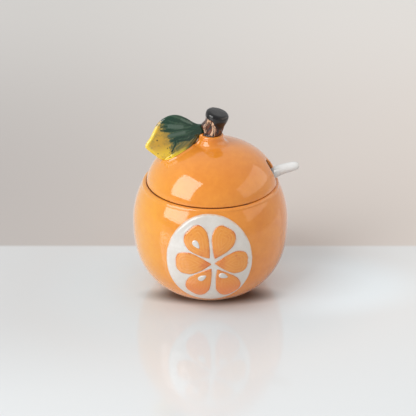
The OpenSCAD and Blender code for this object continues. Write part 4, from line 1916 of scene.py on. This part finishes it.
@dataclass
class Leaf:
    """The thick leaf luted to the lid beside the stem."""

    lid: LidShape
    length: float = 36.7 * MM
    width: float = 27.4 * MM
    thickness: float = 4.8 * MM
    bend: float = 1 * MM
    back: float = 0.8 * MM
    reach: float = 7.1 * MM
    lift: float = 3.5 * MM
    roll: float = -76.3
    droop: float = 13.3
    turn: float = 195.1
    heart_share: float = 0.52
    crown_power: float = 2.6
    sink: float = 1.5 * MM
    proud: float = 0.3 * MM
    tuck: float = 0.5 * MM
    forwards: tuple = (0.0, -0.8965, 0.4431)
    slide: float = 0.1 * MM
    slides: int = 60
    tuck_from: float = 0.94
    rows: int = 33
    row_power: float = 1.4
    edge_steps: int = 8
    stalk: tuple = (-3 * MM, -1.5 * MM)
    stalk_r: float = 18 * MM
    shares: tuple = (
        (-0.14, -0.16), (0.00, -0.20), (0.09, -0.36), (0.19, -0.66), (0.31, -0.91),
        (0.44, -1.01), (0.57, -0.97), (0.70, -0.81), (0.81, -0.52), (0.89, -0.29),
        (0.97, -0.12), (1.01, 0.04), (0.99, 0.21), (0.91, 0.52), (0.82, 0.83),
        (0.70, 0.99), (0.56, 0.96), (0.40, 0.85), (0.26, 0.73), (0.15, 0.55),
        (0.04, 0.33), (-0.14, 0.22),
    )

    def place(self) -> Matrix:
        """Tells where the leaf lies on the lid.

        Returns:
            The matrix that takes the leaf's own plane there.
        """
        at = Matrix.Translation((self.lid.shift - self.reach, self.back, self.lid.neck_z + self.lift))
        turn = Matrix.Rotation(math.radians(self.turn), 4, "Z")
        droop = Matrix.Rotation(math.radians(self.droop), 4, "Y")
        roll = Matrix.Rotation(math.radians(self.roll), 4, "X")
        return at @ turn @ droop @ roll

    def edge(self) -> np.ndarray:
        """The leaf's outline, as rows of two coordinates in its own plane."""
        size = np.array([self.length, self.width / 2])
        return smooth_loop(np.array(self.shares) * size, self.edge_steps)

    def settle(self, points: np.ndarray, allowed: np.ndarray) -> np.ndarray:
        """Lays the leaf on the lid: slides points forwards until they are deep enough at most.

        Args:
            points: Rows of x, y and z.
            allowed: How deep below the lid's surface each point may lie.

        Returns:
            The points in their new places.
        """
        settled = points.copy()
        for _ in range(self.slides):
            deep = self.lid.depth(settled) > allowed
            settled[deep] += np.array(self.forwards) * self.slide
        return settled

    def build(self, material: bpy.types.Material) -> np.ndarray:
        """Builds the leaf and dresses it.

        Args:
            material: Its material.

        Returns:
            The points of its edge, as rows of x, y and z.
        """
        edge = self.edge()
        heart = np.array([self.length * self.heart_share, 0.0])
        turns = np.linspace(-1, 1, self.rows + 2)[1:-1]
        rings = []
        flats = []
        shares = []
        allowed = []
        for turn in turns:
            angle = math.copysign(abs(turn) ** self.row_power, turn) * math.pi / 2
            share = math.cos(angle) ** (2 / self.crown_power)
            level = -math.copysign(abs(math.sin(angle)) ** (2 / self.crown_power), angle)
            ring = heart + (edge - heart) * share
            bend = self.bend * (np.maximum(0, ring[:, 0]) / self.length) ** 2
            rings.append(np.column_stack([ring, level * self.thickness / 2 - bend]))
            flats.append(ring)
            shares.append(np.full(len(edge), share))
            near_edge = float(smoothstep(np.array(share), self.tuck_from, 1.0))
            tuck = near_edge * (self.proud + self.tuck) - self.proud
            allowed.append(np.full(len(edge), tuck if turn <= 0 else self.sink))
        count = len(edge)
        drop_mid = self.bend * self.heart_share**2
        half = self.thickness / 2
        rings.append(np.array([[*heart, half - drop_mid], [*heart, -half - drop_mid]]))
        flat = np.concatenate([*flats, [heart], [heart]])
        share = np.concatenate([*shares, np.zeros(2)])
        faces = [face[::-1] for face in grid_faces(len(turns), count)]
        first = len(turns) * count
        faces += fan(first, 0, count)
        faces += fan(first + 1, first - count, count, back=True)
        matrix = self.place()
        cloud = np.array([matrix @ Vector(p) for p in np.concatenate(rings)])
        cloud = self.settle(cloud, np.concatenate([*allowed, [-self.proud, self.sink]]))
        obj = make_object("leaf_piece", cloud, faces)
        add_plane(obj, "blade", flat[:, 0], flat[:, 1])
        x, y = (flat - self.stalk).T
        add_plane(obj, "hairs", np.arctan2(y, x) * self.stalk_r, np.hypot(x, y))
        add_mask(obj, "edge", share)
        finish_piece(obj, Body.LID, Slot.LEAF, material, "leaf")
        middle = len(turns) // 2
        return cloud[middle * count:(middle + 1) * count]


@dataclass
class Spoon:
    """The little spoon that stands in the pot."""

    shape: PotShape
    voxel: float = 0.35 * MM
    rounds: int = 8
    swell: float = 0.6 * MM
    swell_from: float = -6 * MM
    swell_full: float = -2 * MM
    end_from: float = -5 * MM
    end_full: float = -1 * MM

    def build(self, material: bpy.types.Material) -> None:
        """Softens the frame's spoon into one cast piece and dresses it.

        Args:
            material: Its material.
        """
        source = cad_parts["spoon"]
        mesh = source.data.copy()
        obj = bpy.data.objects.new("spoon_piece_cast", mesh)
        bpy.context.scene.collection.objects.link(obj)
        mesh.materials.clear()
        cast(obj, self.voxel, self.rounds)
        points = rows_of(obj.data)
        out = points[:, 0]
        rim_r = self.shape.rim_r
        share = smoothstep(out, rim_r + self.swell_from, rim_r + self.swell_full)
        share *= 1 - smoothstep(out, out.max() + self.end_from, out.max() + self.end_full)
        points += rows_of(obj.data, "normal") * (self.swell * share)[:, None]
        move_points(obj, points)
        finish_piece(obj, Body.SPOON, Slot.SPOON, material, "spoon")


@dataclass
class Studio:
    """Pale floor with painted shadow and painted light, soft lamps and the camera."""

    aim: Vector = Vector((-1.63 * MM, 0, 53.77 * MM))
    elevation: float = 26.3
    distance: float = 0.8
    focal_share: float = 1224.6 / 416  # focal length as a share of the picture's width
    sensor: float = 36.0
    dim: Colour = (0.38, 0.385, 0.395, 1.0)
    pale: Colour = (0.68, 0.68, 0.68, 1.0)
    right: Colour = (0.62, 0.56, 0.52, 1.0)
    warm: tuple = (1.0, 0.85, 0.72)
    table_half: float = 12.0
    table_left: Colour = (0.655, 0.67, 0.675, 1)
    table_right: Colour = (0.80, 0.82, 0.825, 1)
    table_front: Colour = (0.79, 0.83, 0.85, 1)
    # painted light round the pot and a painted contact shadow under it
    table_bounce_offset: Colour = (0.68, 0.76, 0.80, 1)
    table_shadow_fill: Colour = (0.86, 0.95, 1.0, 1)
    table_contact_shadow: Colour = (0.025, 0.035, 0.04, 1)
    # painted light: the floor and backdrop as the pot sees them, brighter than the camera sees them
    table_lit_left: Colour = (0.84, 0.82, 0.80, 1)
    table_lit_right: Colour = (0.64, 0.63, 0.62, 1)
    back_left: Colour = (0.452, 0.418, 0.398, 1)
    back_right: Colour = (0.75, 0.68, 0.625, 1)
    back_high_left: Colour = (0.85, 0.845, 0.81, 1)
    back_high_right: Colour = (1.0, 1.0, 0.97, 1)
    back_lit: Colour = (0.78, 0.74, 0.71, 1)
    table_ior: float = 1.9

    def camera(self) -> None:
        """Makes the camera at the photograph's viewing angle."""
        data = bpy.data.cameras.new("camera")
        data.sensor_width = self.sensor
        data.lens = self.focal_share * self.sensor
        data.clip_start = 0.01
        camera = bpy.data.objects.new("camera", data)
        tilt = math.radians(self.elevation)
        camera.location = self.aim + Vector((0, -math.cos(tilt), math.sin(tilt))) * self.distance
        camera.rotation_euler = Euler((math.pi / 2 - tilt, 0, 0))
        bpy.context.scene.collection.objects.link(camera)
        bpy.context.scene.camera = camera

    def lamp(
        self,
        name: str,
        place: Sequence[float],
        size: Sequence[float],
        power: float,
    ) -> bpy.types.AreaLight:
        """Makes one soft rectangular lamp that faces the object.

        Args:
            name: Its name.
            place: Where it stands.
            size: Its width and height.
            power: Its power in watts.

        Returns:
            The lamp's data.
        """
        data = bpy.data.lights.new(name, "AREA")
        data.shape = "RECTANGLE"
        data.size = size[0]
        data.size_y = size[1]
        data.energy = power
        lamp = bpy.data.objects.new(name, data)
        lamp.location = place
        lamp.rotation_euler = (self.aim - Vector(place)).to_track_quat("-Z", "Y").to_euler()
        bpy.context.scene.collection.objects.link(lamp)
        return data

    def world(self) -> None:
        """Makes the pale surroundings, dimmer on the viewer's side."""
        world = bpy.data.worlds.new("surroundings")
        bpy.context.scene.world = world
        world.use_nodes = True
        graph = Graph(world.node_tree)
        back = world.node_tree.nodes["Background"]
        x, y = graph.axes(graph.add("ShaderNodeTexCoord").outputs["Generated"])[:2]
        front = graph.mix(graph.span(x, 0.1, 0.8), self.dim, self.right)
        graph.feed(back.inputs["Color"], graph.mix(graph.span(y, -0.6, 0.5), front, self.pale))

    def oval(
        self,
        graph: Finish,
        middle: Sequence[float],
        reach: Sequence[float],
        colour: Colour,
        share: float,
    ) -> None:
        """Lays a soft oval over the floor.

        Args:
            graph: The floor's graph.
            middle: The oval's middle.
            reach: Its two half widths.
            colour: The oval's colour.
            share: How much of it shows in the middle.
        """
        away = graph.vector("SUBTRACT", graph.place, (*middle, 0.0))
        scaled = graph.vector("DIVIDE", away, (*reach, 1.0))
        inside = graph.math("SUBTRACT", 1.0, graph.vector("LENGTH", scaled), clamp=True)
        graph.cover(graph.span(inside, 0.0, 0.6, 0.0, share), colour)

    def floor(self) -> None:
        """Makes the pale floor, with a painted contact shadow and painted light round the pot."""
        half = self.table_half
        points = np.array([[-half, -half, 0], [half, -half, 0], [half, half, 0], [-half, half, 0]])
        floor = make_object("floor", points, [(0, 1, 2, 3)])
        graph = Finish("floor")
        x, y = graph.axes(graph.place)[:2]
        side = graph.span(x, -0.15, 0.15)
        graph.base = graph.mix(side, self.table_left, self.table_right)
        graph.cover(graph.span(y, -0.04, -0.16, 0.0, 0.8), self.table_front)
        # painted light: a cooler ring that offsets the pot's orange bounce light on the floor
        self.oval(graph, (0.0, -0.01), (0.13, 0.10), self.table_bounce_offset, 0.9)
        # painted light: a pale oval that lightens the pot's cast shadow to its right
        self.oval(graph, (0.07, -0.005), (0.085, 0.05), self.table_shadow_fill, 0.8)
        # painted shadow: a dark contact oval under the pot
        self.oval(graph, (0.001, -0.02), (0.053, 0.0155), self.table_contact_shadow, 0.94)
        far = graph.mix(graph.span(x, -0.25, 0.25), self.back_left, self.back_right)
        high = graph.mix(graph.span(x, -0.3, 0.3), self.back_high_left, self.back_high_right)
        far = graph.mix(graph.span(y, 0.1, 0.7, 0.0, 0.6), far, high)
        # painted light: rays other than the camera's see a brighter floor and backdrop, which light the
        # pot and show in it as a painted sheen
        seen = graph.add("ShaderNodeLightPath").outputs["Is Camera Ray"]
        far = graph.mix(seen, self.back_lit, far)
        lit = graph.mix(side, self.table_lit_left, self.table_lit_right)
        near = graph.mix(seen, lit, graph.base)
        inputs = graph.shader.inputs
        graph.feed(inputs["Base Color"], graph.mix(graph.span(y, 0.046, 0.0505), near, far))
        graph.feed(inputs["Roughness"], graph.span(y, -0.06, -0.17, 0.004, 0.14))
        inputs["IOR"].default_value = self.table_ior
        floor.data.materials.append(graph.material)

    def build(self) -> None:
        """Builds the camera, the lamps, the surroundings and the floor."""
        bpy.context.scene.view_settings.view_transform = "Standard"
        self.camera()
        self.world()
        self.floor()
        self.lamp("key", place=(-1.36, -0.92, 1.17), size=(1.42, 2.0), power=36)
        fill = self.lamp("fill", place=(1.90, -0.04, 0.94), size=(2.8, 1.3), power=9.5)
        fill.color = self.warm


def main() -> None:
    """Builds the shared effects, the finishes, the pieces and the studio."""
    logging.basicConfig(level=logging.INFO, format="%(name)s %(message)s")
    for build in (
        build_mottle_group,
        build_speck_group,
        build_ripple_group,
        build_streak_group,
        build_mark_group,
    ):
        build()
    Studio().build()
    orange = OrangeGlaze().build()
    pith = PithGlaze().build()
    pot = PotShape()
    lid = LidShape(pot)
    Pot(pot).build(orange, lid)
    Slice(pot).build(pith, PulpGlaze().build())
    Stem(lid).build(BarkGlaze().build())
    leaf = Leaf(lid).build(LeafGlaze().build())
    Lid(lid).build(orange, leaf)
    Spoon(pot).build(SpoonGlaze().build())


if __name__ == "__main__":
    main()
